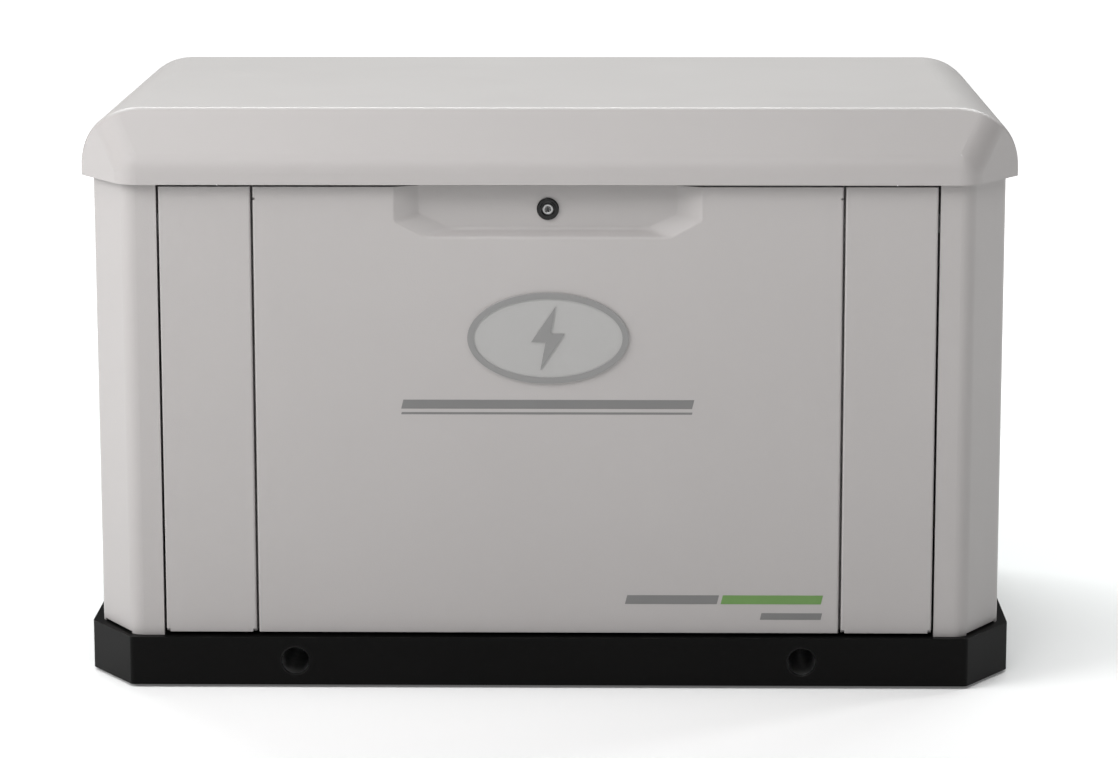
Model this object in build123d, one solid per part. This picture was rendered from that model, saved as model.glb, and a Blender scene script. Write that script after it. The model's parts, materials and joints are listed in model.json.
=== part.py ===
from build123d import *
import math
import os

# Home standby generator: a louvred steel cabinet on a black base pan, with a hinged roof,
# a lift-off front panel, and the engine, alternator, muffler, battery and controls inside.
# Millimetres. +X is right as seen from the front, +Y is back, +Z is up, z = 0 is the ground.

# Roof, as outer faces
ROOF_HALF_X = 616
ROOF_HALF_Y = 386
ROOF_CUT_X = 65
ROOF_CUT_Y = 100
ROOF_BOTTOM = 670
ROOF_CREASE = 699
ROOF_TOP = 764
ROOF_SETBACK = 60
ROOF_END_R = 82
ROOF_SOFT_R = 36
ROOF_RIDGE_R = 9
ROOF_SKIN = 2.5

# Cabinet walls, as outer faces
BODY_HALF_X = 600
BODY_FRONT = -374
BODY_BACK = 366
BODY_CUT_X = 52
BODY_CUT_Y = 84
BODY_CORNER_R = 24
SKIN = 2
FLANGE = 14
WALL_BOTTOM = 73
WALL_TOP = 694
DOOR_TOP = 666
OUTER_SEAM = 506.5
INNER_SEAM = 384
SIDE_SEAM = 268
SEAM_GAP = 3
JAMB_DEPTH = 23
NOTCH = 5
DOT = 3
DOT_Z = 649

# Base pan
BASE_HALF_X = 613
BASE_HALF_Y = 386
BASE_CUT_X = 62
BASE_CUT_Y = 90
BASE_TOP = 68.5
BASE_BOTTOM = 4
PAN_FLOOR = 10
PAN_SKIN = 3
PAN_FLANGE = 30
FOOT_X = 421
FOOT_Y = 300
LIFT_X = 334
LIFT_Z = 36.6
LIFT_R = 18
ANCHOR_X = 540
ANCHOR_Y = 240
ANCHOR_R = 7

# Finger recess in the front panel, half widths and heights
RECESS_DEPTH = 15
RECESS_FACE = ((200, 621), (161, 600))
RECESS_FLOOR = ((168, 629), (125, 609.7))
RECESS_CORNER_R = 16
RECESS_FLOOR_R = 6
RECESS_MOUTH_R = 5
LOCK_Z = 635.6
LOCK_R = 9

# Emblem on the front panel
BADGE_Z = 468
BADGE_HALF_X = 105
BADGE_HALF_Z = 60
BADGE_RIM = 8

# Fuel pipe, power conduit and control conduit through the back: x, z and radius
REAR_HOLES = ((60, 390, 13.6), (-430, 170, 22), (-350, 170, 14))
RIM = 16

# Roof hinge and gas struts
HINGE_Y = 375
HINGE_Z = 674
HINGE_X = 360
PIN_R = 3
STRUT_X = 530
STRUT_LOW = (300, 530)
STRUT_HIGH = (225, 714)

# Engine and alternator on one crankshaft along X
SHAFT_Y = 20
SHAFT_Z = 235
SHAFT_R = 15
CASE_X = (-385, -165)
CASE_HALF_Y = 110
DECK = 75
BARREL = 90
HEAD = 50
COVER = 28
FIN_HALF = 55
BANKS = ((-315, 45), (-235, -45))
RAIL_TOP = 100
RAIL_Y = (-90, 130)
CROSS_X = (-260, 60)
STATOR_X = (-125, 95)
STATOR_R = 125
ROTOR_R = 98
PARTITION_X = 215

# Muffler compartment
MUFFLER_X = 400
MUFFLER_Z = 250
MUFFLER_R = 85
PIPE_R = 16

FIT = 0.05


def block(x, y, z):
    """Box between pairs of coordinates."""
    size = Box(x[1] - x[0], y[1] - y[0], z[1] - z[0])
    return Pos((x[0] + x[1]) / 2, (y[0] + y[1]) / 2, (z[0] + z[1]) / 2) * size


def rod(start, direction, radius, length):
    """Round bar from a start point along a direction."""
    return extrude(Plane(start, z_dir=direction) * Circle(radius), amount=length)


def ring(start, direction, outer, inner, length):
    """Tube from a start point along a direction."""
    return rod(start, direction, outer, length) - rod(start, direction, inner, length)


def both_sides(shape):
    """A shape and its mirror image across the YZ plane, as two solids."""
    return Compound(children=[shape, mirror(shape, about=Plane.YZ)])


def group(shapes):
    return Compound(children=list(shapes))


def save(shape, name):
    export_step(shape, "parts/" + name + ".step")


def octagon(half_x, half_y, cut_x, cut_y, middle=0):
    """Rectangle with cut corners, seen from above."""
    corners = [
        (half_x - cut_x, half_y), (half_x, half_y - cut_y),
        (half_x, cut_y - half_y), (half_x - cut_x, -half_y),
    ]
    loop = corners + [(-x, -y) for x, y in corners]
    return Pos(0, middle) * make_face(Polyline(*loop, close=True))


# ---------------------------------------------------------------- roof

def roof_solid(inset, bottom):
    """Roof block: cut corners, leaning front and back, rounded ends."""
    half_x = ROOF_HALF_X - inset
    half_y = ROOF_HALF_Y - inset
    top = ROOF_TOP - inset
    tall = top - bottom
    lean = math.atan2(ROOF_SETBACK, ROOF_TOP - ROOF_CREASE)
    crease = ROOF_CREASE - inset * math.tan((math.pi / 2 - lean) / 2)
    setback = (top - crease) * math.tan(lean)
    cut_x = ROOF_CUT_X - inset * 0.4
    cut_y = ROOF_CUT_Y - inset * 0.4
    plan = extrude(octagon(half_x, half_y, cut_x, cut_y), amount=tall)
    side = Polyline(
        (-half_y, bottom), (-half_y, crease), (setback - half_y, top),
        (half_y - setback, top), (half_y, crease), (half_y, bottom), close=True,
    )
    slab = extrude(Plane.YZ * make_face(side), amount=half_x + 1, both=True)
    body = slab & (Pos(0, 0, bottom) * plan)
    soft = [e for e in body.edges() if is_soft(e, half_x, half_y, bottom, crease, top)]
    body = fillet(soft, ROOF_SOFT_R - inset)
    arch = block((-half_x, half_x), (-half_y - 1, half_y + 1), (bottom - 100, top))
    body = body & fillet(arch.edges().filter_by(Axis.Y).group_by(Axis.Z)[-1], ROOF_END_R - inset)
    ridges = body.edges().filter_by(Axis.X).group_by(Axis.Z)[-1]
    return fillet(ridges, ROOF_RIDGE_R - inset)


def is_soft(edge, half_x, half_y, bottom, crease, top):
    """Edges round the front and back faces that have a large radius."""
    box = edge.bounding_box()
    level = box.max.Z - box.min.Z < 1
    if level:
        return abs(box.max.Z - crease) < 1 and box.max.X - box.min.X > half_x
    middle = edge.center()
    upright = abs(abs(middle.Y) - half_y) < 1 and box.max.Z < crease + 1
    leaning = box.min.Z > crease - 1 and box.max.Z > top - 1
    return upright or leaning


def make_lid():
    outer = roof_solid(0, ROOF_BOTTOM)
    inner = roof_solid(ROOF_SKIN, ROOF_BOTTOM - 10)
    save(outer - inner, "lid")
    lining = block((-500, 500), (-270, 270), (ROOF_TOP - ROOF_SKIN - 22, ROOF_TOP - ROOF_SKIN))
    save(fillet(lining.edges().filter_by(Axis.Z), 30), "lid_lining")
    save(both_sides(moving_hinge_leaf(HINGE_X)), "hinge_leaves_lid")
    save(group([both_sides(strut_bracket()), lid_catch()]), "lid_brackets")


def knuckle(x0, x1):
    return ring((x0, HINGE_Y, HINGE_Z), (1, 0, 0), 6, PIN_R + FIT, x1 - x0)


def moving_hinge_leaf(middle):
    """Hinge leaf screwed inside the roof's back skirt, with the outer knuckles."""
    back = ROOF_HALF_Y - ROOF_SKIN
    leaf = block((middle - 40, middle + 40), (back - 2.5, back), (HINGE_Z, ROOF_CREASE - 16))
    arms = Part()
    for side in (-1, 1):
        x = (middle + side * 27 - 12, middle + side * 27 + 12)
        arms += knuckle(*x)
        arms += block(x, (HINGE_Y + 5, back), (HINGE_Z, HINGE_Z + 6)) - rod(
            (x[0] - 1, HINGE_Y, HINGE_Z), (1, 0, 0), 5, 30)
    return leaf + arms


def strut_bracket():
    """Plate under the roof that a gas strut pushes on, with its ball stud."""
    y, z = STRUT_HIGH
    under = ROOF_TOP - ROOF_SKIN
    plate = block((STRUT_X - 13, STRUT_X - 10), (y - 22, y + 22), (z - 14, under))
    foot = block((STRUT_X - 13, STRUT_X), (y - 22, y + 22), (under - 3, under))
    stud = rod((STRUT_X - 10, y, z), (1, 0, 0), 4, 4.7)
    return plate + foot + stud


def lid_catch():
    """Hook under the front of the roof that the lock's cam holds down."""
    y = BODY_FRONT + 30
    stem = block((24, 52), (y + 7, y + 10), (LOCK_Z - 13, ROOF_TOP - ROOF_SKIN - 22))
    lip = block((24, 52), (y - 3, y + 10), (LOCK_Z - 13, LOCK_Z - 10))
    foot = block((10, 66), (y + 7, y + 40), (ROOF_TOP - ROOF_SKIN - 25, ROOF_TOP - ROOF_SKIN - 22))
    post = block((24, 52), (y + 37, y + 40), (ROOF_TOP - ROOF_SKIN - 25, ROOF_TOP - ROOF_SKIN))
    return stem + lip + foot + post


# ---------------------------------------------------------------- cabinet walls

BODY_HALF_Y = (BODY_BACK - BODY_FRONT) / 2
BODY_MIDDLE_Y = (BODY_BACK + BODY_FRONT) / 2


def body_plan(inset):
    """Plan of the cabinet wall, with softly rounded corners."""
    plan = octagon(BODY_HALF_X, BODY_HALF_Y, BODY_CUT_X, BODY_CUT_Y, BODY_MIDDLE_Y)
    plan = fillet(plan.vertices(), BODY_CORNER_R)
    return offset(plan, amount=-inset) if inset else plan


def wall(z, thickness):
    """Closed wall of the cabinet between two heights."""
    shell = extrude(body_plan(0), amount=z[1] - z[0]) - extrude(body_plan(thickness), amount=z[1] - z[0])
    return Pos(0, 0, z[0]) * shell


def make_posts():
    """Corner posts with a cut corner and a folded edge along each seam."""
    tall = (BASE_TOP, WALL_TOP)
    shell = wall(tall, SKIN)
    seam = OUTER_SEAM + SEAM_GAP / 2
    for name, end in (("front", -1), ("rear", 1)):
        y_edge = end * SIDE_SEAM + (BODY_MIDDLE_Y if end > 0 else 0)
        face = BODY_FRONT if end < 0 else BODY_BACK
        post = shell & block((seam, 700), sorted((y_edge, end * 500)), (0, 800))
        post += block((seam, seam + SKIN), sorted((face, face - end * FLANGE)), tall)
        post += block((BODY_HALF_X - FLANGE, BODY_HALF_X), sorted((y_edge, y_edge + end * SKIN)), tall)
        post -= block((BODY_HALF_X - BODY_CUT_X + 4, BODY_HALF_X - 4),
                      sorted((face, face - end * (BODY_CUT_Y - 5))), (BASE_TOP - 1, BASE_TOP + 3))
        save(both_sides(post), "corner_posts_" + name)


def tray(half_width, z, depth=FLANGE, rim=2.5):
    """Flat panel facing -Y with its edges folded back; the outer face is at y = 0."""
    outer = block((-half_width, half_width), (0, depth), z)
    outer = fillet(outer.edges().filter_by(Axis.Z).group_by(Axis.Y)[0], rim)
    inner = block((SKIN - half_width, half_width - SKIN), (SKIN, depth + 1), (z[0] + SKIN, z[1] - SKIN))
    return outer - inner


def louvre(width, height, reach):
    """Hood pressed out of a sheet facing -Y, open at the bottom, and the slot behind it."""
    def wedge(half, low, high, out, start):
        side = Polyline((start, low), (-out, low), (-out, low + 2), (start, high), close=True)
        return extrude(Plane.YZ * make_face(side), amount=half, both=True)
    hood = wedge(width / 2, 0, height, reach, 0.5)
    hollow = wedge(width / 2 - 1.4, -1, height - 3, reach - 1.4, SKIN + 1)
    return hood, hollow


def add_louvres(panel, columns, rows, pitch, low, width):
    """Columns of louvres on a panel that faces -Y."""
    hood, hollow = louvre(width, 22, 6)
    for x in columns:
        for row in range(rows):
            place = Pos(x, 0, low + row * pitch)
            panel += place * hood
            panel -= place * hollow
    return panel


def recess_block(face, floor, depth, grow):
    """Solid that fills the finger recess, from the panel's face to its floor, with soft corners."""
    def outline(points, y):
        (wide, high), (narrow, low) = points
        half = [(wide + grow, DOOR_TOP + 20), (wide + grow, high - grow / 2), (narrow + grow / 2, low - grow)]
        loop = half + [(-x, z) for x, z in reversed(half)]
        return Pos(0, y, 0) * (Plane.XZ * make_face(Polyline(*loop, close=True)))
    solid = loft([outline(face, 0), outline(floor, depth)], ruled=True)
    corners = [e for e in solid.edges() if 1 < e.center().Y < depth - 1 and e.center().Z < DOOR_TOP]
    solid = fillet(corners, RECESS_CORNER_R + grow)
    bottom = [e for e in solid.edges() if e.center().Y > depth - 0.5 and e.center().Z < DOOR_TOP + 15]
    return fillet(bottom, RECESS_FLOOR_R + grow)


def is_recess_mouth(edge):
    """Edges where the finger recess leaves the panel's face."""
    box = edge.bounding_box()
    on_face = abs(box.max.Y - BODY_FRONT) < 0.01
    inside = max(-box.min.X, box.max.X) < RECESS_FACE[0][0] + 1 and box.min.Z > RECESS_FACE[1][1] - 1
    return on_face and inside and box.min.Z < DOOR_TOP - 1


def make_front_panel():
    panel = Pos(0, BODY_FRONT, 0) * tray(INNER_SEAM - SEAM_GAP / 2, (WALL_BOTTOM, DOOR_TOP), 20)
    pocket = Pos(0, BODY_FRONT, 0) * recess_block(RECESS_FACE, RECESS_FLOOR, RECESS_DEPTH, 0)
    lining = Pos(0, BODY_FRONT, 0) * recess_block(RECESS_FACE, RECESS_FLOOR, RECESS_DEPTH + SKIN, SKIN)
    limit = block((-300, 300), (BODY_FRONT, BODY_FRONT + 30), (500, DOOR_TOP))
    panel = panel + (lining & limit) - pocket
    mouth = [e for e in panel.edges() if is_recess_mouth(e)]
    panel = fillet(mouth, RECESS_MOUTH_R)
    panel -= rod((0, BODY_FRONT, LOCK_Z), (0, 1, 0), LOCK_R + 2, 40)
    edge = INNER_SEAM - SEAM_GAP / 2
    for x in (-edge - 1, edge - DOT):
        panel -= block((x, x + DOT + 1), (BODY_FRONT - 1, BODY_FRONT + 6), (DOT_Z, DOT_Z + DOT))
    save(panel, "front_panel")


def door_jamb():
    """Folded strip behind the seam that the front panel closes against."""
    edge = INNER_SEAM + SEAM_GAP / 2
    back = BODY_FRONT + JAMB_DEPTH
    web = block((edge, edge + SKIN), (BODY_FRONT + 5, back), (WALL_BOTTOM, DOOR_TOP))
    return web + block((edge - 18, edge + SKIN), (back - SKIN, back), (WALL_BOTTOM, DOOR_TOP))


def make_panels():
    height = (WALL_BOTTOM, WALL_TOP)
    middle = (OUTER_SEAM + INNER_SEAM) / 2
    half = (OUTER_SEAM - INNER_SEAM) / 2 - SEAM_GAP / 2
    filler = Pos(middle, BODY_FRONT, 0) * tray(half, (WALL_BOTTOM, DOOR_TOP)) + door_jamb()
    for x in (middle - half, middle + half - NOTCH):
        filler -= block((x, x + NOTCH), (BODY_FRONT - 1, BODY_FRONT + 6), (WALL_BOTTOM - 1, WALL_BOTTOM + 4))
    save(both_sides(filler), "filler_panels")
    side_half = (2 * SIDE_SEAM + BODY_MIDDLE_Y) / 2 - SEAM_GAP
    side_middle = BODY_MIDDLE_Y / 2
    flat = tray(side_half, height)
    louvred = add_louvres(flat, (-125, 125), 14, 34, 150, 200)
    left = Pos(-BODY_HALF_X, side_middle, 0) * Rot(0, 0, -90) * louvred
    save(left, "side_panel_left")
    right = Pos(BODY_HALF_X, side_middle, 0) * Rot(0, 0, 90) * add_louvres(
        flat, (-125, 125), 10, 34, 286, 200)
    right -= rod((BODY_HALF_X - 60, 0, MUFFLER_Z - 100), (1, 0, 0), 30, 80)
    save(right, "side_panel_right")
    rear = add_louvres(tray(OUTER_SEAM - SEAM_GAP / 2, (WALL_BOTTOM, 660)), (-330, 330), 6, 34, 430, 220)
    rear = Pos(0, BODY_BACK, 0) * Rot(0, 0, 180) * rear
    for x, z, radius in REAR_HOLES:
        rear -= rod((x, BODY_BACK - 20, z), (0, 1, 0), radius, 40)
    save(rear, "rear_panel")


def make_top_frame():
    """Rim round the top of the cabinet that ties the posts together."""
    rim = extrude(body_plan(1), amount=2) - extrude(body_plan(RIM), amount=2)
    lip = extrude(body_plan(RIM - 2), amount=24) - extrude(body_plan(RIM), amount=24)
    frame = Pos(0, 0, WALL_TOP) * rim + Pos(0, 0, WALL_TOP - 22) * lip
    strut_way = block((STRUT_X - 14, STRUT_X + 14), (BODY_BACK - RIM - 5, BODY_BACK - RIM + 4),
                      (WALL_TOP - 30, WALL_TOP + 5))
    frame -= both_sides(strut_way)
    save(frame, "top_frame")
    bead = extrude(body_plan(4), amount=8) - extrude(body_plan(12), amount=8)
    door = block((-INNER_SEAM, INNER_SEAM), (BODY_FRONT - 5, BODY_FRONT + 20), (600, 720))
    save(Pos(0, 0, WALL_TOP + 2) * bead - door, "lid_seal")


def make_hinges():
    back = BODY_BACK
    leaf = block((HINGE_X - 40, HINGE_X + 40), (back, back + 2.5), (640, HINGE_Z + 4))
    leaf += knuckle(HINGE_X - 14.5, HINGE_X + 14.5)
    leaf -= block((HINGE_X - 40.5, HINGE_X - 14.5), (back - 1, 400), (HINGE_Z - 8, 700))
    leaf -= block((HINGE_X + 14.5, HINGE_X + 40.5), (back - 1, 400), (HINGE_Z - 8, 700))
    leaf -= rod((HINGE_X - 50, HINGE_Y, HINGE_Z), (1, 0, 0), PIN_R + FIT, 100)
    pin = rod((HINGE_X - 39, HINGE_Y, HINGE_Z), (1, 0, 0), PIN_R, 78)
    pin += rod((HINGE_X + 39, HINGE_Y, HINGE_Z), (1, 0, 0), 5, 2)
    save(group([both_sides(leaf), both_sides(pin)]), "hinge_leaves_cabinet")


def make_struts():
    """Gas struts: each cylinder turns on a stud on the cabinet and its rod pushes the roof up."""
    low_y, low_z = STRUT_LOW
    high_y, high_z = STRUT_HIGH
    reach = math.hypot(high_y - low_y, high_z - low_z)
    along = (0, (high_y - low_y) / reach, (high_z - low_z) / reach)

    def at(distance, x=STRUT_X):
        return (x, low_y + along[1] * distance, low_z + along[2] * distance)
    tube_end = reach - 16
    eye = rod(at(0, STRUT_X - 5), (1, 0, 0), 9, 10) - rod(at(0, STRUT_X - 6), (1, 0, 0), 4 + FIT, 12)
    tube = ring(at(8.9), along, 9, 7.5, tube_end - 8.9)
    tube += rod(at(8.9), along, 9, 8) - rod(at(0, STRUT_X - 5), (1, 0, 0), 9, 10)
    tube += ring(at(tube_end - 6), along, 9, 4 + FIT, 6)
    save(both_sides(eye + tube), "strut_cylinders")
    piston = rod(at(24), along, 7.2, 8)
    stem = rod(at(32), along, 4, reach - 32 - 6)
    end = rod(at(reach, STRUT_X - 5), (1, 0, 0), 8, 10)
    save(both_sides(piston + stem + end), "strut_rods")
    stud = rod((STRUT_X - 8, low_y, low_z), (1, 0, 0), 4, 17)
    arm = block((STRUT_X + 9, STRUT_X + 12), (low_y - 60, low_y + 14), (low_z - 14, low_z + 14))
    shelf = block((STRUT_X + 9, BODY_HALF_X - SKIN), (low_y - 63, low_y - 60), (low_z - 14, low_z + 14))
    arm += block((STRUT_X + 9, STRUT_X + 12), (low_y - 63, low_y - 60), (low_z - 14, low_z + 14))
    save(both_sides(stud + arm + shelf), "strut_anchors")


# ---------------------------------------------------------------- base

def make_base():
    plan = fillet(octagon(BASE_HALF_X, BASE_HALF_Y, BASE_CUT_X, BASE_CUT_Y).vertices(), 8)
    pan = Pos(0, 0, BASE_BOTTOM) * extrude(plan, amount=BASE_TOP - BASE_BOTTOM)
    inner = offset(plan, amount=-PAN_SKIN)
    below = extrude(inner, amount=PAN_FLOOR - BASE_BOTTOM)
    above = extrude(inner, amount=BASE_TOP - PAN_SKIN - PAN_FLOOR - PAN_SKIN)
    mouth = extrude(offset(plan, amount=-PAN_FLANGE), amount=20)
    pan -= Pos(0, 0, BASE_BOTTOM) * below
    pan -= Pos(0, 0, PAN_FLOOR + PAN_SKIN) * above
    pan -= Pos(0, 0, BASE_TOP - 10) * mouth
    for x in (-LIFT_X, LIFT_X):
        pan -= rod((x, -BASE_HALF_Y - 1, LIFT_Z), (0, 1, 0), LIFT_R, 2 * BASE_HALF_Y + 2)
        for y in (-ANCHOR_Y, ANCHOR_Y):
            pan -= rod((math.copysign(ANCHOR_X, x), y, 0), (0, 0, 1), ANCHOR_R, 20)
    save(pan, "base_pan")
    long = BASE_HALF_Y - PAN_SKIN
    save(both_sides(ring((LIFT_X, -long, LIFT_Z), (0, 1, 0), LIFT_R + 2.5, LIFT_R, 2 * long)),
         "lifting_tubes")
    pad = fillet(block((-45, 45), (-30, 30), (0, PAN_FLOOR)).edges().filter_by(Axis.Z), 8)
    save(group(Pos(x, y, 0) * pad for x in (-FOOT_X, FOOT_X) for y in (-FOOT_Y, FOOT_Y)), "base_feet")


def muffler_stand(y):
    """Folded saddle that the muffler lies on."""
    floor = PAN_FLOOR + PAN_SKIN
    stand = block((MUFFLER_X - 42, MUFFLER_X + 42), (y - 12, y + 12), (floor, MUFFLER_Z - 30))
    stand -= rod((MUFFLER_X, y - 20, MUFFLER_Z), (0, 1, 0), MUFFLER_R, 40)
    return stand - block((MUFFLER_X - 38, MUFFLER_X + 38), (y - 8, y + 20), (PAN_FLOOR, MUFFLER_Z - 110))


def channel(x, y, z, skin):
    """Inverted channel."""
    return block(x, y, z) - block((x[0] + skin, x[1] - skin), (y[0] - 1, y[1] + 1), (z[0] - 1, z[1] - skin))


def make_engine_mounts():
    floor = PAN_FLOOR + PAN_SKIN
    beams = [channel((x - 35, x + 35), (-200, 270), (floor, 50), 4) for x in CROSS_X]
    stands = [muffler_stand(y) for y in (-150, 150)]
    save(group(beams + stands), "floor_brackets")
    rubber = [rod((x, y, 50), (0, 0, 1), 22, 25) for x in CROSS_X for y in RAIL_Y]
    save(group(rubber), "vibration_mounts")
    rails = [block((-390, 130), (y - 20, y + 20), (75, RAIL_TOP)) -
             block((-391, 131), (y - 17, y + 17), (78, RAIL_TOP - 3)) for y in RAIL_Y]
    save(group(rails), "engine_rails")


# ---------------------------------------------------------------- engine

def bank_plane(middle, tilt):
    """Plane whose Z runs out along a cylinder's axis, with X along the crankshaft."""
    return Plane((middle, SHAFT_Y, SHAFT_Z), x_dir=(1, 0, 0),
                 z_dir=(0, -math.sin(math.radians(tilt)), math.cos(math.radians(tilt))))


def make_crankcase():
    peak = SHAFT_Z + DECK * math.sqrt(2)
    shoulder = peak - CASE_HALF_Y
    side = Polyline(
        (SHAFT_Y - CASE_HALF_Y, RAIL_TOP), (SHAFT_Y + CASE_HALF_Y, RAIL_TOP),
        (SHAFT_Y + CASE_HALF_Y, shoulder), (SHAFT_Y, peak), (SHAFT_Y - CASE_HALF_Y, shoulder), close=True,
    )
    length = CASE_X[1] - CASE_X[0]
    case = Pos(CASE_X[0], 0, 0) * extrude(Plane.YZ * make_face(side), amount=length)
    case = fillet(case.edges().filter_by(Axis.X).group_by(Axis.Z)[0], 14)
    case -= rod((CASE_X[0] + 20, SHAFT_Y, SHAFT_Z), (1, 0, 0), 70, length - 40)
    case -= rod((CASE_X[0] - 1, SHAFT_Y, SHAFT_Z), (1, 0, 0), SHAFT_R + FIT, length + 2)
    for x, tilt in BANKS:
        case -= bank_plane(x, tilt) * (Pos(0, 0, 20) * Cylinder(40, 80, align=LOW))
    case += dipstick_tube(8)
    case -= dipstick_tube(6.2)
    for x in (-370, -330, -290, -250, -210):
        for y in (SHAFT_Y - CASE_HALF_Y - 5, SHAFT_Y + CASE_HALF_Y):
            if not (y < 0 and x in (-370, -330, -210)):
                case += block((x, x + 5), (y, y + 5), (RAIL_TOP + 14, RAIL_TOP + 40))
    save(case, "crankcase")
    save(rod((-217, SHAFT_Y - CASE_HALF_Y, 196), (0, -1, 0), 33, 72) +
         rod((-217, SHAFT_Y - CASE_HALF_Y - 72, 196), (0, -1, 0), 30, 5), "oil_filter")


LOW = (Align.CENTER, Align.CENTER, Align.MIN)


def make_cylinders():
    barrels, heads, covers, plugs = [], [], [], []
    for x, tilt in BANKS:
        place = bank_plane(x, tilt)
        barrel = Pos(0, 0, DECK) * Cylinder(46, BARREL, align=LOW)
        for row in range(9):
            fin = Box(2 * FIN_HALF, 2 * FIN_HALF, 3, align=LOW)
            fin = fillet(fin.edges().filter_by(Axis.Z), 12)
            barrel += Pos(0, 0, DECK + 8 + row * 9) * fin
        barrel -= Pos(0, 0, DECK - 1) * Cylinder(40, BARREL + 2, align=LOW)
        barrels.append(place * barrel)
        head = Box(2 * FIN_HALF, 2 * FIN_HALF, HEAD, align=LOW)
        for row in range(4):
            gap = Box(2 * FIN_HALF + 2, 2 * FIN_HALF + 2, 6, align=LOW) - Box(
                2 * FIN_HALF - 24, 2 * FIN_HALF - 24, 6, align=LOW)
            head -= Pos(0, 0, 6 + row * 11) * gap
        heads.append(place * (Pos(0, 0, DECK + BARREL) * head))
        cover = fillet(Box(86, 96, COVER, align=LOW).edges(), 9)
        covers.append(place * (Pos(0, 0, DECK + BARREL + HEAD) * cover))
        outward = 1 if tilt < 0 else -1
        line = place.y_dir * outward
        start = place.from_local_coords(Vector(0, 0, DECK + BARREL + 25)) + line * FIN_HALF
        plugs.append(rod(start, line, 5, 8) + rod(start + line * 8, line, 10, 40))
    save(group(barrels), "cylinder_barrels")
    save(group(heads), "cylinder_heads")
    save(group(covers), "valve_covers")
    save(group(plugs), "spark_plugs")


def make_intake():
    x = (BANKS[0][0] + BANKS[1][0]) / 2
    box = fillet(block((x - 32, x + 32), (SHAFT_Y - 46, SHAFT_Y + 46), (442, 490)).edges(), 8)
    radial = DECK + BARREL + HEAD / 2
    for side in (-1, 1):
        diag = math.sqrt(0.5)
        start = (x, SHAFT_Y + side * (radial - FIN_HALF) * diag, SHAFT_Z + (radial + FIN_HALF) * diag)
        box += rod(start, (0, -side * diag, diag), 15, 75)
    mixer = rod((x, SHAFT_Y, 490), (0, 0, 1), 26, 55) + rod((x, SHAFT_Y, 520), (0, 1, 0), 12, 40)
    save(box + mixer, "intake_manifold")
    base = block((x - 130, x + 130), (SHAFT_Y - 110, SHAFT_Y + 110), (545, 585))
    base = fillet(base.edges().filter_by(Axis.Z), 24)
    base -= Pos(x, SHAFT_Y, 549) * Box(252, 212, 100, align=LOW)
    save(base, "air_cleaner_base")
    element = fillet(Box(236, 196, 32, align=LOW).edges().filter_by(Axis.Z), 18)
    save(Pos(x, SHAFT_Y, 549) * element, "air_filter")
    lid = block((x - 130, x + 130), (SHAFT_Y - 110, SHAFT_Y + 110), (585, 622))
    lid = fillet(lid.edges().filter_by(Axis.Z), 24)
    lid = fillet(lid.edges().group_by(Axis.Z)[-1], 10)
    lid -= Pos(x, SHAFT_Y, 580) * Box(240, 200, 38, align=LOW)
    save(lid, "air_cleaner_cover")


def make_starter():
    y, z = -130, 140
    body = rod((-375, y, z), (1, 0, 0), 34, 112) + rod((-375, y, z), (1, 0, 0), 20, 118)
    body += rod((-350, y - 18, z + 50), (1, 0, 0), 16, 76)
    body += block((-340, -290), (y - 24, y - 8), (z + 20, z + 45))
    body += block((-360, -300), (y + 20, SHAFT_Y - CASE_HALF_Y), (z - 20, z + 20))
    save(body, "starter_motor")


STICK_LEAN = math.radians(40)
STICK_ALONG = Vector(0, -math.sin(STICK_LEAN), math.cos(STICK_LEAN))
STICK_START = Vector(-345, SHAFT_Y - CASE_HALF_Y, 200)


def dipstick_tube(radius):
    """Tube that leans forward from the crankcase."""
    return rod(STICK_START - STICK_ALONG * 12, STICK_ALONG, radius, 182)


def make_dipstick():
    along = STICK_ALONG
    start = STICK_START
    top = start + along * 170
    stick = rod(top - along * 150, along, 2, 151)
    stick += rod(top + along * 0.3, along, 9, 10)
    loop = Plane(top + along * 22, z_dir=(1, 0, 0)) * Torus(12, 2.5)
    save(stick + loop, "dipstick")


def make_blower():
    """Sheet housing round the flywheel fan that blows air up both cylinders."""
    def form(grow, x0, x1):
        body = rod((x0, SHAFT_Y, SHAFT_Z), (1, 0, 0), 148 + grow, x1 - x0)
        for _, tilt in BANKS:
            duct = Box(x1 - x0, 2 * (62 + grow), 232 + grow, align=LOW)
            body += bank_plane((x0 + x1) / 2, tilt) * duct
        return body
    shell = form(2, -470, -388) - form(0, -468, -387)
    shell -= rod((-480, SHAFT_Y, SHAFT_Z), (1, 0, 0), 92, 20)
    for radius in (30, 60, 89):
        shell += ring((-470, SHAFT_Y, SHAFT_Z), (1, 0, 0), radius + 1.6, radius - 1.6, 2)
    for angle in range(0, 180, 30):
        bar = Box(2, 186, 3)
        shell += Pos(-469, SHAFT_Y, SHAFT_Z) * Rot(angle, 0, 0) * bar
    save(shell, "blower_housing")


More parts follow.
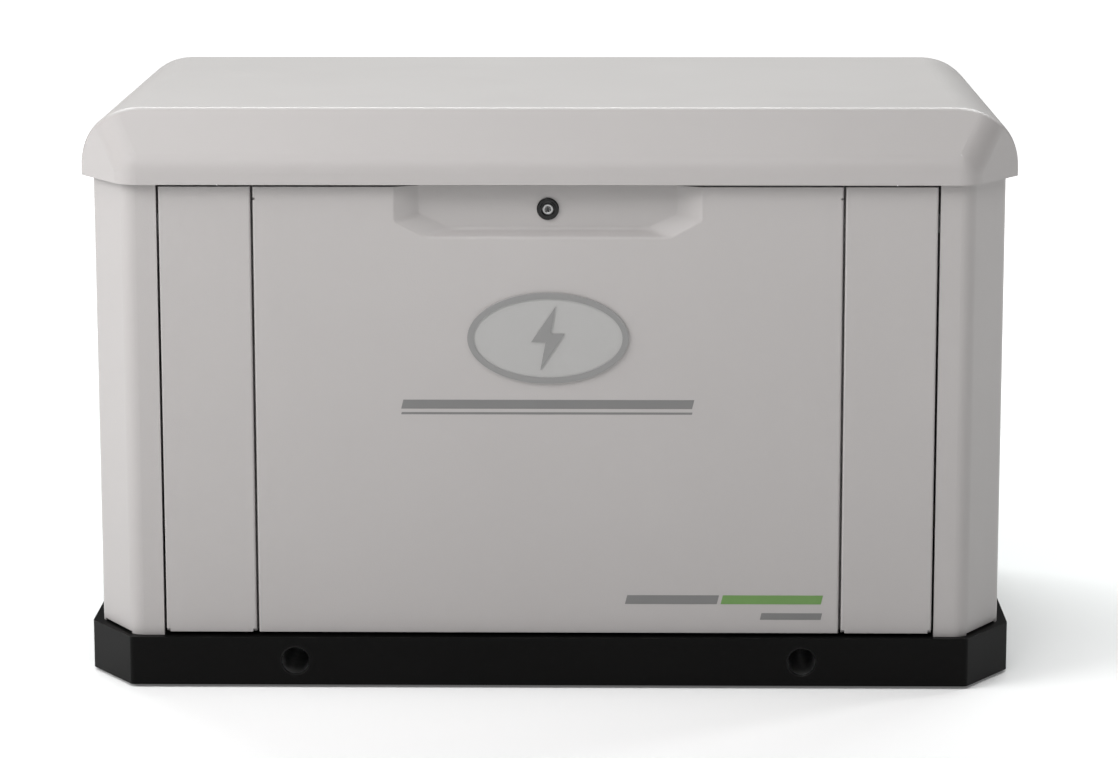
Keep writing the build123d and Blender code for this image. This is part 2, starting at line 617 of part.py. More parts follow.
def make_shaft():
    """Everything that turns: fan, crankshaft and rotor."""
    fan = rod((-408, SHAFT_Y, SHAFT_Z), (1, 0, 0), 126, 12)
    fan += rod((-455, SHAFT_Y, SHAFT_Z), (1, 0, 0), 34, 50)
    for step in range(16):
        blade = Pos(-430, 0, 88) * Box(45, 4, 70)
        fan += Pos(0, SHAFT_Y, SHAFT_Z) * Rot(step * 22.5, 0, 0) * blade
    fan -= rod((-460, SHAFT_Y, SHAFT_Z), (1, 0, 0), SHAFT_R, 80)
    save(fan, "flywheel_fan")
    shaft = rod((-458, SHAFT_Y, SHAFT_Z), (1, 0, 0), SHAFT_R, 598)
    for x in (-350, -275, -225):
        shaft += rod((x, SHAFT_Y, SHAFT_Z), (1, 0, 0), 52, 14)
    shaft += rod((-350, SHAFT_Y, SHAFT_Z + 36), (1, 0, 0), 14, 125)
    save(shaft, "crankshaft")
    rotor = rod((-110, SHAFT_Y, SHAFT_Z), (1, 0, 0), ROTOR_R, 185)
    for step in range(4):
        slot = Pos(-18, SHAFT_Y, SHAFT_Z) * Rot(step * 90 + 45, 0, 0) * Pos(0, 0, 85) * Box(190, 34, 40)
        rotor -= slot
    cooling = rod((-156, SHAFT_Y, SHAFT_Z), (1, 0, 0), 100, 6)
    for step in range(12):
        cooling += Pos(-140, SHAFT_Y, SHAFT_Z) * Rot(step * 30, 0, 0) * Pos(0, 0, 70) * Box(28, 4, 56)
    bore = rod((-170, SHAFT_Y, SHAFT_Z), (1, 0, 0), SHAFT_R, 300)
    cooling += rod((-156, SHAFT_Y, SHAFT_Z), (1, 0, 0), 44, 30)
    save(group([rotor - bore, cooling - bore]), "alternator_rotor")


def make_alternator():
    adapter = ring((CASE_X[1], SHAFT_Y, SHAFT_Z), (1, 0, 0), 132, 128, STATOR_X[0] - CASE_X[1])
    adapter += ring((STATOR_X[0] - 5, SHAFT_Y, SHAFT_Z), (1, 0, 0), 132, 106, 5)
    for step in range(8):
        window = Rot(step * 45, 0, 0) * Pos(0, 0, 130) * Box(20, 60, 20)
        adapter -= Pos(-147, SHAFT_Y, SHAFT_Z) * window
    adapter -= block((-200, -100), (-200, 200), (0, RAIL_TOP))
    save(adapter, "alternator_adapter")
    stator = ring((STATOR_X[0], SHAFT_Y, SHAFT_Z), (1, 0, 0), STATOR_R, ROTOR_R + 1.5, 220)
    for step in range(24):
        rib = Rot(step * 15, 0, 0) * Pos(-15, 0, STATOR_R) * Box(200, 3, 4)
        stator += Pos(0, SHAFT_Y, SHAFT_Z) * rib
    save(stator, "stator")
    bell = ring((STATOR_X[1], SHAFT_Y, SHAFT_Z), (1, 0, 0), STATOR_R, 118, 45)
    bell += ring((STATOR_X[1] + 35, SHAFT_Y, SHAFT_Z), (1, 0, 0), 119, SHAFT_R + FIT, 10)
    for step in range(8):
        vent = Rot(step * 45 + 22.5, 0, 0) * Pos(40, 0, 78) * Box(30, 22, 44)
        bell -= Pos(STATOR_X[1], SHAFT_Y, SHAFT_Z) * vent
    foot = block((STATOR_X[1] + 8, STATOR_X[1] + 30), (RAIL_Y[0] - 20, RAIL_Y[1] + 20),
                 (RAIL_TOP, RAIL_TOP + 70))
    foot -= rod((STATOR_X[1], SHAFT_Y, SHAFT_Z), (1, 0, 0), 119, 60)
    save(bell + foot, "alternator_end_bell")


# ---------------------------------------------------------------- exhaust

COLLAR_TOP = 342


def make_exhaust():
    radial = (DECK + BARREL + HEAD / 2) * math.sqrt(0.5)
    pipes = []
    for x, tilt in BANKS:
        y = SHAFT_Y - math.copysign(radial, tilt)
        z = SHAFT_Z + radial
        path = FilletPolyline((x + FIN_HALF, y, z), (MUFFLER_X, y, z), (MUFFLER_X, y, COLLAR_TOP), radius=25)
        start = Plane((x + FIN_HALF, y, z), z_dir=(1, 0, 0))
        pipe = sweep(start * Circle(PIPE_R), path) - sweep(start * Circle(PIPE_R - 1.5), path)
        flange = ring((x + FIN_HALF, y, z), (1, 0, 0), 26, PIPE_R - 1, 8)
        pipes.append(pipe + flange)
    save(group(pipes), "exhaust_pipes")
    can = fillet(rod((MUFFLER_X, -230, MUFFLER_Z), (0, 1, 0), MUFFLER_R, 460).edges(), 16)
    for side in (-1, 1):
        can += rod((MUFFLER_X, SHAFT_Y + side * radial, MUFFLER_Z + 60), (0, 0, 1), 22,
                   COLLAR_TOP - MUFFLER_Z - 60)
        can -= rod((MUFFLER_X, SHAFT_Y + side * radial, MUFFLER_Z), (0, 0, 1), PIPE_R - 1.5, 200)
    can -= rod((MUFFLER_X, -220, MUFFLER_Z), (0, 1, 0), MUFFLER_R - 3, 440)
    z = MUFFLER_Z - 100
    path = FilletPolyline((MUFFLER_X, 0, MUFFLER_Z - 80), (MUFFLER_X, 0, z),
                          (BODY_HALF_X - 16, 0, z), radius=19)
    start = Plane((MUFFLER_X, 0, MUFFLER_Z - 80), z_dir=(0, 0, -1))
    outlet = sweep(start * Circle(17.2), path)
    save(can + sweep(start * Circle(19), path) - outlet, "muffler")
    make_partition()


def make_partition():
    """Fire wall between the engine bay and the muffler compartment."""
    y = (BODY_FRONT + 22, BODY_BACK - 22)
    plate = block((PARTITION_X, PARTITION_X + 2), y, (BASE_TOP, WALL_TOP - 26))
    plate += block((PARTITION_X, PARTITION_X + 20), y, (BASE_TOP, BASE_TOP + 2))
    plate -= block((PARTITION_X - 1, PARTITION_X + 3), (-90, 130), (150, 320))
    radial = (DECK + BARREL + HEAD / 2) * math.sqrt(0.5)
    for side in (-1, 1):
        plate -= rod((PARTITION_X - 1, SHAFT_Y + side * radial, SHAFT_Z + radial), (1, 0, 0), PIPE_R + 6, 4)
    save(plate, "partition")


# ---------------------------------------------------------------- battery, fuel and controls

BATTERY_X = (-40, 155)
BATTERY_Y = (-345, -215)


def make_battery():
    case = fillet(block(BATTERY_X, BATTERY_Y, (80, 250)).edges().filter_by(Axis.Z), 5)
    top = fillet(block((-38, 153), (-343, -217), (250, 262)).edges().filter_by(Axis.Z), 4)
    case += top
    for x in (-15, 130):
        case += rod((x, -240, 262), (0, 0, 1), 8, 14)
    save(case, "battery")
    tray_box = block((-46, 161), (-351, -209), (PAN_FLOOR + PAN_SKIN, 110))
    tray_box -= block((-42, 157), (-347, -213), (80, 120))
    tray_box -= block((-42, 157), (-347, -213), (PAN_FLOOR, 76))
    strap = block((45, 70), (-348, -212), (112, 265)) - block((44, 71), (-345, -215), (111, 262))
    save(group([tray_box, strap]), "battery_tray")
    radius = 5
    cables = []
    for route in (POSITIVE_CABLE, NEGATIVE_CABLE):
        path = FilletPolyline(*route, radius=12)
        ahead = Vector(route[1]) - Vector(route[0])
        cables.append(sweep(Plane(route[0], z_dir=ahead) * Circle(radius), path))
    save(group(cables), "battery_cables")


POSITIVE_CABLE = ((-23.2, -240, 269), (-75, -240, 269), (-118, -238, 205),
                  (-185, -222, 135), (-262, -218, 130),
                  (-306, -205, 165), (-310, -190, 190), (-310, -164.5, 190))
NEGATIVE_CABLE = ((130, -231.8, 269), (130, -196, 269), (128, -178, 200), (118, -168, 130), (95, -150, 88),
                  (90, -110.3, 88))


def make_fuel():
    along = (0, 1, 0)
    body = fillet(rod((60, 275, 390), along, 60, 55).edges(), 6)
    body += rod((60, 257, 390), along, 24, 30)
    body += rod((12, 302, 400), (-1, 0, 0), 13, 40)
    body += rod((60, 320, 390), along, 13.2, 60)
    body += rod((60, BODY_BACK, 390), along, 17, 5)
    save(body - rod((60, 350, 390), along, 9, 60), "fuel_regulator")
    x = (BANKS[0][0] + BANKS[1][0]) / 2
    route = ((-28, 302, 400), (-90, 302, 400), (-165, 296, 455), (-240, 262, 515), (x - 4, 175, 528),
             (x, 115, 520), (x, SHAFT_Y + 40.2, 520))
    path = FilletPolyline(*route, radius=40)
    save(sweep(Plane(route[0], z_dir=(-1, 0, 0)) * Circle(10), path), "fuel_hose")


PANEL_FACE = -315
BOX_X = (-45, PARTITION_X)
BOX_Z = (455, 640)
BUTTON_X = (-5, 25, 55)
BUTTON_Z = 505
BREAKER_X = 150


def make_controls():
    back = PANEL_FACE + 110
    box = fillet(block(BOX_X, (PANEL_FACE, back), BOX_Z).edges().filter_by(Axis.Y), 6)
    box -= block((BOX_X[0] + 3, BOX_X[1] - 3), (PANEL_FACE + 3, back - 3), (BOX_Z[0] + 3, BOX_Z[1] - 3))
    for x in BUTTON_X:
        box -= rod((x, PANEL_FACE - 1, BUTTON_Z), (0, 1, 0), 8.3, 6)
    box -= block((-18, 78), (PANEL_FACE - 1, PANEL_FACE + 1.5), (545, 601))
    box -= block((BREAKER_X - 26, BREAKER_X + 26), (PANEL_FACE - 1, PANEL_FACE + 4), (500, 600))
    save(box, "control_box")
    breaker = block((BREAKER_X - 26, BREAKER_X + 26), (PANEL_FACE - 6, PANEL_FACE + 60), (500, 600))
    breaker -= block((BREAKER_X - 9, BREAKER_X + 9), (PANEL_FACE - 7, PANEL_FACE + 14), (526, 574))
    breaker -= rod((BREAKER_X - 12, PANEL_FACE + 2, 550), (1, 0, 0), 2.5 + FIT, 24)
    save(breaker, "circuit_breaker")
    lever = rod((BREAKER_X - 11, PANEL_FACE + 2, 550), (1, 0, 0), 2.5, 22)
    lever += rod((BREAKER_X - 8, PANEL_FACE + 2, 550), (1, 0, 0), 8, 16)
    arm = Pos(BREAKER_X, PANEL_FACE + 2, 550) * Rot(-LEVER_TILT, 0, 0) * Pos(0, -12, 0) * Box(14, 20, 7)
    save(lever + arm, "breaker_lever")
    for name, x in zip(("off", "manual", "auto"), BUTTON_X):
        cap = rod((x, PANEL_FACE - 3, BUTTON_Z), (0, 1, 0), 8, 6)
        cap = fillet(cap.edges().group_by(Axis.Y)[0], 1.2)
        cap += rod((x, PANEL_FACE + 3.3, BUTTON_Z), (0, 1, 0), 9.5, 3)
        save(cap, "button_" + name)


LEVER_TILT = 25


# ---------------------------------------------------------------- front panel hardware

def make_lock():
    floor_y = BODY_FRONT + RECESS_DEPTH
    housing = ring((0, floor_y - 3, LOCK_Z), (0, 1, 0), 14.5, 9, 3)
    housing = fillet(housing.edges().group_by(Axis.Y)[0].sort_by(SortBy.RADIUS)[-1], 1.5)
    housing += ring((0, floor_y - 1, LOCK_Z), (0, 1, 0), LOCK_R + 1.9, 7 + FIT, 12)
    save(housing, "lock_housing")
    plug = rod((0, floor_y - 4.5, LOCK_Z), (0, 1, 0), 7, 20)
    plug -= block((-1, 1), (floor_y - 6, floor_y + 4), (LOCK_Z - 5, LOCK_Z + 5))
    cam = block((-8, 8), (floor_y + 12, floor_y + 15), (LOCK_Z - 9, LOCK_Z + 24))
    cam += block((-8, 8), (floor_y + 12, floor_y + 15), (LOCK_Z + 23, LOCK_Z + 44))
    save(plug + cam, "lock_plug")


def make_badge():
    """Plain oval emblem with a lightning bolt, standing a little off the panel."""
    def plate(half_x, half_z, depth, thickness):
        face = Plane((0, BODY_FRONT - depth, BADGE_Z), x_dir=(1, 0, 0), z_dir=(0, -1, 0))
        return extrude(face * Ellipse(half_x, half_z), amount=thickness)
    oval = plate(BADGE_HALF_X, BADGE_HALF_Z, 0, 3)
    oval -= plate(BADGE_HALF_X - BADGE_RIM, BADGE_HALF_Z - BADGE_RIM, 1.8, 2)
    bolt = make_face(Polyline((10, 42), (-22, -5), (-3, -5), (-10, -42), (22, 6), (4, 6), close=True))
    front = Plane((0, BODY_FRONT - 1.8, BADGE_Z), x_dir=(1, 0, 0), z_dir=(0, -1, 0))
    save(oval + extrude(front * bolt, amount=1.2), "badge")


def make_screws():
    """Button-head screws that hold the side and back walls to the posts."""
    heads = []
    for z in (110, 300, 490, 655):
        for side in (-1, 1):
            for y in (SIDE_SEAM - 16, -SIDE_SEAM + 14):
                heads.append(rod((side * BODY_HALF_X, y, z), (side, 0, 0), 5, 2.5))
            if z < 600:
                heads.append(rod((side * (OUTER_SEAM - 16), BODY_BACK, z), (0, 1, 0), 5, 2.5))
    heads = [fillet(h.edges().filter_by(GeomType.CIRCLE), 0.7) for h in heads]
    save(group(heads), "panel_screws")


def main():
    os.makedirs("parts", exist_ok=True)
    make_lid()
    make_posts()
    make_front_panel()
    make_panels()
    make_top_frame()
    make_hinges()
    make_struts()
    make_base()
    make_engine_mounts()
    make_crankcase()
    make_cylinders()
    make_intake()
    make_starter()
    make_dipstick()
    make_blower()
    make_shaft()
    make_alternator()
    make_exhaust()
    make_battery()
    make_fuel()
    make_controls()
    make_lock()
    make_badge()
    make_screws()


main()
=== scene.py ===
import json
import math

import bmesh
import bpy
from mathutils import Matrix, Vector


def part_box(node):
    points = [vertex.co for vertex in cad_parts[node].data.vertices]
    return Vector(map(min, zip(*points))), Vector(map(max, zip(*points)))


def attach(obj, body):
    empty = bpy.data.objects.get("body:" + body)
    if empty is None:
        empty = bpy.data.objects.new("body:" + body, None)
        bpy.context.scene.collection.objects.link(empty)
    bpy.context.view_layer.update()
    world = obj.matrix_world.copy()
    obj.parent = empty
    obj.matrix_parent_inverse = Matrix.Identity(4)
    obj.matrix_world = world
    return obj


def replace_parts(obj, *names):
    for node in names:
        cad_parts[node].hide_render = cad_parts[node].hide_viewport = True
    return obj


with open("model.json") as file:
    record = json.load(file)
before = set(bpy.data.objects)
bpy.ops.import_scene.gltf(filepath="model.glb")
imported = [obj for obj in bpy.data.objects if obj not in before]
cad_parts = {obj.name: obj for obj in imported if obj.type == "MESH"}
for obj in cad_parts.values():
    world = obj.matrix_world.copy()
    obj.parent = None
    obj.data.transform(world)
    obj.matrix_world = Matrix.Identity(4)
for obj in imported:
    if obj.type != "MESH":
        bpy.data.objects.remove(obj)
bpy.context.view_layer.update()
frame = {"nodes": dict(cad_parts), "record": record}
nodes = frame["nodes"]


# ---------------------------------------------------------------- materials

class Nodes:
    """A material's node tree, with short calls for the nodes that the finishes share."""

    def __init__(self, name):
        self.material = bpy.data.materials.new(name)
        self.material.use_nodes = True
        self.tree = self.material.node_tree
        self.shader = self.tree.nodes["Principled BSDF"]
        self.place = self.add("ShaderNodeTexCoord").outputs["Object"]

    def add(self, kind, **settings):
        node = self.tree.nodes.new(kind)
        for key, value in settings.items():
            setattr(node, key, value)
        return node

    def link(self, source, target):
        self.tree.links.new(source, target)

    def put(self, socket, value):
        """A link where the value is another node's socket, and a plain number or colour otherwise."""
        if isinstance(value, bpy.types.NodeSocket):
            self.link(value, socket)
        else:
            socket.default_value = value

    def stretch(self, scale):
        mapping = self.add("ShaderNodeMapping")
        self.link(self.place, mapping.inputs["Vector"])
        mapping.inputs["Scale"].default_value = scale
        return mapping.outputs["Vector"]

    def noise(self, scale, detail=2.0, place=None):
        node = self.add("ShaderNodeTexNoise")
        self.link(place or self.place, node.inputs["Vector"])
        node.inputs["Scale"].default_value = scale
        node.inputs["Detail"].default_value = detail
        return node.outputs["Fac"]

    def cells(self, scale, feature="F1"):
        node = self.add("ShaderNodeTexVoronoi", feature=feature)
        self.link(self.place, node.inputs["Vector"])
        node.inputs["Scale"].default_value = scale
        return node.outputs["Distance"]

    def math(self, operation, a, b=0.0, clamp=False):
        node = self.add("ShaderNodeMath", operation=operation, use_clamp=clamp)
        self.put(node.inputs[0], a)
        self.put(node.inputs[1], b)
        return node.outputs[0]

    def range(self, value, low, high, new_low=0.0, new_high=1.0):
        node = self.add("ShaderNodeMapRange")
        self.put(node.inputs["Value"], value)
        limits = (("From Min", low), ("From Max", high), ("To Min", new_low), ("To Max", new_high))
        for socket, number in limits:
            node.inputs[socket].default_value = number
        return node.outputs["Result"]

    def mix(self, factor, a, b):
        node = self.add("ShaderNodeMix", data_type="RGBA")
        self.put(node.inputs["Factor"], factor)
        self.put(node.inputs["A"], a)
        self.put(node.inputs["B"], b)
        return node.outputs["Result"]

    def edges(self, radius, low=0.02, high=0.25):
        """1 along sharp outer edges and 0 on flat faces."""
        bevel = self.add("ShaderNodeBevel", samples=4)
        bevel.inputs["Radius"].default_value = radius
        face = self.add("ShaderNodeNewGeometry").outputs["Normal"]
        dot = self.add("ShaderNodeVectorMath", operation="DOT_PRODUCT")
        self.link(bevel.outputs["Normal"], dot.inputs[0])
        self.link(face, dot.inputs[1])
        return self.range(dot.outputs["Value"], 1.0 - low, 1.0 - high)

    def bump(self, height, distance, strength=1.0, normal=None):
        node = self.add("ShaderNodeBump")
        self.put(node.inputs["Height"], height)
        node.inputs["Distance"].default_value = distance
        node.inputs["Strength"].default_value = strength
        if normal is not None:
            self.link(normal, node.inputs["Normal"])
        return node.outputs["Normal"]

    def finish(self, colour, roughness, metallic=0.0, normal=None, **sockets):
        self.put(self.shader.inputs["Base Color"], colour)
        self.put(self.shader.inputs["Roughness"], roughness)
        self.put(self.shader.inputs["Metallic"], metallic)
        if normal is not None:
            self.link(normal, self.shader.inputs["Normal"])
        for socket, value in sockets.items():
            self.shader.inputs[socket.replace("_", " ")].default_value = value
        return self.material


def grey(value, warm=0.0):
    """Opaque colour near a neutral grey, in linear light. Warm above 0 leans to red."""
    return (value * (1 + warm), value, value * (1 - warm), 1.0)


def tint(red, green, blue):
    return (red, green, blue, 1.0)


def powder_coat(name, colour, dark, roughness, worn_and_glint, wear_and_glint, gloss=0.5):
    """Sprayed and baked paint: fine orange peel, faint clouding, and a paler colour along sharp edges, which
    is worn paint on most finishes and a painted highlight line on the black base and the lifting-hole rims.
    """
    n = Nodes(name)
    clouds = n.noise(3.5, 4.0)
    body = n.mix(n.range(clouds, 0.3, 0.7), dark, colour)
    speck = n.range(n.noise(160.0, 3.0), 0.68, 0.74)
    # Paler edge colour: worn paint on most finishes, and a painted highlight line on the black base and the
    # lifting-hole rims.
    edge = n.math("MULTIPLY", n.edges(0.0016), n.range(n.noise(38.0, 6.0), 0.52, 0.66), clamp=True)
    body = n.mix(n.math("MULTIPLY", edge, wear_and_glint), body, worn_and_glint)
    body = n.mix(n.math("MULTIPLY", speck, 0.02), body, worn_and_glint)
    peel = n.bump(n.noise(620.0, 2.0), 0.0006, 0.22)
    peel = n.bump(n.noise(70.0, 1.0), 0.004, 0.01, peel)
    rough = n.range(n.noise(9.0, 5.0), 0.2, 0.8, roughness - 0.02, roughness + 0.02)
    return n.finish(body, rough, normal=peel, Specular_IOR_Level=gloss)


def cast_metal(name):
    """Sand-cast aluminium with a pebbled skin and machined grey on its edges."""
    n = Nodes(name)
    stain = n.range(n.noise(14.0, 6.0), 0.35, 0.75)
    colour = n.mix(stain, grey(0.36), grey(0.52, 0.01))
    colour = n.mix(n.math("MULTIPLY", n.edges(0.0012), 0.6), colour, grey(0.72))
    skin = n.bump(n.noise(420.0, 3.0), 0.0012, 0.5)
    rough = n.range(n.noise(30.0, 4.0), 0.2, 0.8, 0.38, 0.6)
    return n.finish(colour, rough, 0.85, skin)


def plated_steel(name, base, roughness, spangle=0.0):
    """Zinc-plated or bare steel, with faint crystals or rolling lines."""
    n = Nodes(name)
    patches = n.range(n.cells(140.0), 0.1, 0.9)
    colour = n.mix(n.math("MULTIPLY", patches, spangle), grey(base), grey(base * 0.72, -0.02))
    colour = n.mix(n.math("MULTIPLY", n.edges(0.0008), 0.5), colour, grey(min(base * 1.3, 0.95)))
    lines = n.noise(60.0, 4.0, n.stretch((1.0, 1.0, 9.0)))
    rough = n.range(lines, 0.2, 0.8, roughness - 0.08, roughness + 0.1)
    return n.finish(colour, rough, 1.0, n.bump(lines, 0.0004, 0.15))


def rubber(name, value):
    """Black rubber with a dusty bloom and a fine skin."""
    n = Nodes(name)
    bloom = n.range(n.noise(22.0, 6.0), 0.4, 0.75)
    colour = n.mix(bloom, grey(value), grey(value * 2.2, 0.03))
    skin = n.bump(n.noise(800.0, 2.0), 0.0004, 0.3)
    return n.finish(colour, n.range(bloom, 0.0, 1.0, 0.62, 0.82), 0.0, skin)


def moulded(name, colour, shade, roughness, grain=520.0, depth=0.0003):
    """Injection-moulded plastic with spark-eroded grain and rubbed edges."""
    n = Nodes(name)
    rubbed = n.math("MULTIPLY", n.edges(0.0009), n.range(n.noise(45.0, 4.0), 0.4, 0.7), clamp=True)
    body = n.mix(n.range(n.noise(11.0, 4.0), 0.3, 0.7), shade, colour)
    pale = tuple(min(1.0, c * 1.6 + 0.02) for c in colour[:3]) + (1.0,)
    body = n.mix(n.math("MULTIPLY", rubbed, 0.5), body, pale)
    rough = n.range(n.noise(18.0, 4.0), 0.2, 0.8, roughness - 0.06, roughness + 0.08)
    return n.finish(body, rough, 0.0, n.bump(n.noise(grain, 2.0), depth, 0.35))


def foam(name):
    """Open-cell acoustic foam: charcoal, with small dark pores."""
    n = Nodes(name)
    pores = n.cells(420.0)
    colour = n.mix(n.range(pores, 0.05, 0.6), grey(0.008), grey(0.032))
    colour = n.mix(n.range(n.noise(12.0, 3.0), 0.35, 0.8, 0.0, 0.35), colour, grey(0.05))
    return n.finish(colour, 0.95, 0.0, n.bump(pores, 0.002, 0.6), Specular_IOR_Level=0.15)


def pleated_paper(name):
    """Folded filter paper, with fibres, painted darker in the fold valleys and paler on the crests as painted
    shade.
    """
    n = Nodes(name)
    folds = n.add("ShaderNodeTexWave", wave_type="BANDS", bands_direction="X")
    n.link(n.place, folds.inputs["Vector"])
    folds.inputs["Scale"].default_value = 50.0
    fold = folds.outputs["Fac"]
    # Painted shade: the colour follows the fold height, darker in the valleys and paler on the crests.
    colour = n.mix(n.range(fold, 0.0, 1.0), tint(0.42, 0.32, 0.14), tint(0.74, 0.62, 0.34))
    fibres = n.noise(300.0, 5.0)
    colour = n.mix(n.range(fibres, 0.35, 0.8, 0.0, 0.3), colour, tint(0.85, 0.78, 0.6))
    return n.finish(colour, 0.85, 0.0, n.bump(fold, 0.004, 0.8))


def laminations(name):
    """Stacked, varnished steel sheets, seen edge on."""
    n = Nodes(name)
    sheets = n.add("ShaderNodeTexWave", wave_type="BANDS", bands_direction="X")
    n.link(n.place, sheets.inputs["Vector"])
    sheets.inputs["Scale"].default_value = 260.0
    line = sheets.outputs["Fac"]
    colour = n.mix(line, tint(0.055, 0.045, 0.04), tint(0.16, 0.14, 0.125))
    colour = n.mix(n.range(n.noise(25.0, 5.0), 0.5, 0.8, 0.0, 0.5), colour, tint(0.22, 0.12, 0.06))
    return n.finish(colour, n.range(line, 0.0, 1.0, 0.55, 0.35), 0.7, n.bump(line, 0.0006, 0.5))


def enamelled_wire(name):
    """Bundled copper winding wire under clear enamel and varnish."""
    n = Nodes(name)
    strands = n.add("ShaderNodeTexWave", wave_type="RINGS", rings_direction="X")
    n.link(n.place, strands.inputs["Vector"])
    strands.inputs["Scale"].default_value = 130.0
    strands.inputs["Distortion"].default_value = 1.5
    strand = strands.outputs["Fac"]
    colour = n.mix(strand, tint(0.2, 0.06, 0.025), tint(0.62, 0.25, 0.11))
    colour = n.mix(n.range(n.noise(40.0, 4.0), 0.5, 0.75, 0.0, 0.5), colour, tint(0.16, 0.05, 0.02))
    return n.finish(colour, n.range(strand, 0.0, 1.0, 0.5, 0.3), 0.6, n.bump(strand, 0.0008, 0.6))


def hot_steel(name):
    """Aluminised exhaust steel, tinted straw and blue where it runs hottest."""
    n = Nodes(name)
    heat = n.range(n.noise(7.0, 4.0), 0.3, 0.72)
    ramp = n.add("ShaderNodeValToRGB")
    stops = ((0.0, grey(0.34)), (0.35, tint(0.42, 0.33, 0.2)), (0.6, tint(0.3, 0.19, 0.16)),
             (0.85, tint(0.2, 0.2, 0.26)))
    for index, (where, colour) in enumerate(stops):
        stop = ramp.color_ramp.elements[index] if index < 2 else ramp.color_ramp.elements.new(where)
        stop.position = where
        stop.color = colour
    n.link(heat, ramp.inputs["Fac"])
    rust = n.math("MULTIPLY", n.range(n.noise(60.0, 8.0), 0.6, 0.75), 0.6)
    colour = n.mix(rust, ramp.outputs["Color"], tint(0.16, 0.07, 0.03))
    rough = n.range(n.noise(35.0, 4.0), 0.2, 0.8, 0.35, 0.65)
    return n.finish(colour, rough, 0.8, n.bump(n.noise(240.0, 4.0), 0.0008, 0.35))


def polished(name, base, roughness):
    """Ground or plated metal with faint smears."""
    n = Nodes(name)
    smear = n.noise(26.0, 5.0)
    colour = n.mix(n.range(smear, 0.35, 0.8), grey(base), grey(base * 0.86))
    return n.finish(colour, n.range(smear, 0.2, 0.8, roughness, roughness + 0.12), 1.0)


def emblem(name, raised, ground, depth):
    """Moulded badge whose raised parts are printed darker than its ground."""
    n = Nodes(name)
    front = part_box("badge")[0].y
    place = n.add("ShaderNodeSeparateXYZ")
    n.link(n.place, place.inputs[0])
    lowered = n.range(place.outputs["Y"], front + depth * 0.3, front + depth * 0.6)
    colour = n.mix(lowered, raised, ground)
    colour = n.mix(n.math("MULTIPLY", n.edges(0.0006), 0.3), colour, grey(0.5))
    rough = n.range(n.noise(18.0, 4.0), 0.2, 0.8, 0.32, 0.44)
    return n.finish(colour, rough, 0.0, n.bump(n.noise(520.0, 2.0), 0.0003, 0.3))


SLOT_FINISH = {
    "cabinet_paint": powder_coat("powder_coat_grey", tint(0.378, 0.36, 0.355), tint(0.37, 0.352, 0.347),
                                 0.42, tint(0.27, 0.255, 0.25), 0.2, 0.42),
    # Black base: the paler edge colour, at full strength, is a painted highlight line along its edges.
    "base_paint": powder_coat("powder_coat_black", grey(0.0035, 0.03), grey(0.0025, 0.03),
                              0.42, grey(0.02, 0.06), 1.0, 0.07),
    "zinc_steel": plated_steel("zinc_plate", 0.6, 0.38, 0.5),
    "rubber": rubber("rubber_black", 0.012),
    "lining_foam": foam("acoustic_foam"),
    "strut_black": powder_coat("strut_enamel", grey(0.012), grey(0.01), 0.25, grey(0.1), 0.4),
    "bright_steel": polished("ground_rod", 0.72, 0.12),
    "cast_aluminium": cast_metal("cast_aluminium"),
    "cover_black": powder_coat("engine_black", grey(0.014), grey(0.011), 0.36, grey(0.12), 0.6),
    "filter_white": powder_coat("filter_enamel", grey(0.72, 0.01), grey(0.68, 0.01), 0.28, grey(0.4), 0.5),
    "filter_paper": pleated_paper("pleated_paper"),
    "winding_steel": laminations("laminations"),
    "moulded_black": moulded("moulded_black", grey(0.02), grey(0.016), 0.5),
    "breaker_black": moulded("breaker_black", grey(0.012), grey(0.01), 0.42),
    "exhaust_steel": hot_steel("hot_steel"),
    "button_grey": moulded("button_grey", grey(0.3), grey(0.27), 0.55),
    "button_green": moulded("button_green", tint(0.03, 0.25, 0.05), tint(0.025, 0.21, 0.04), 0.5),
    "handle_yellow": moulded("handle_yellow", tint(0.8, 0.45, 0.02), tint(0.72, 0.4, 0.02), 0.4),
    "lock_black": moulded("lock_bezel", grey(0.012), grey(0.01), 0.3),
    "chrome": polished("chrome", 0.8, 0.08),
    "badge_grey": moulded("badge_grey", grey(0.22), grey(0.2), 0.38),
}

STRIPE_GREY = moulded("printed_grey", grey(0.155, 0.01), grey(0.145, 0.01), 0.42)
STRIPE_GREEN = moulded("printed_green", tint(0.115, 0.235, 0.06), tint(0.105, 0.215, 0.055), 0.42)
MARK_WHITE = moulded("printed_white", grey(0.7), grey(0.64), 0.5)
# Lifting-hole rims: black paint whose paler edge colour, at full strength, is a painted glint.
RIM_PAINT_WITH_GLINT = powder_coat("rim_painted_glint", grey(0.004), grey(0.003), 0.4, grey(0.05, 0.05), 1.0, 0.1)
HOSE_RUBBER = rubber("hose_rubber", 0.014)
CABLE_RED = moulded("cable_red", tint(0.36, 0.012, 0.01), tint(0.3, 0.01, 0.008), 0.48, 260.0)
CABLE_BLACK = moulded("cable_black", grey(0.012), grey(0.009), 0.46, 260.0)
COPPER = enamelled_wire("enamelled_copper")
EMBLEM = emblem("emblem", grey(0.2, 0.01), grey(0.335, 0.015), 0.0014)
LOCK_FACE = polished("lock_face", 0.1, 0.3)
LOCK_RING = polished("lock_ring", 0.4, 0.22)
LOCK_BEZEL = powder_coat("lock_enamel", grey(0.004), grey(0.003), 0.26, grey(0.05), 0.6, 0.3)
SCREEN = moulded("display_glass", tint(0.008, 0.012, 0.011), tint(0.007, 0.01, 0.009), 0.14, 40.0, 0.0001)
SEGMENTS = moulded("display_segments", tint(0.12, 0.34, 0.2), tint(0.1, 0.3, 0.17), 0.4)
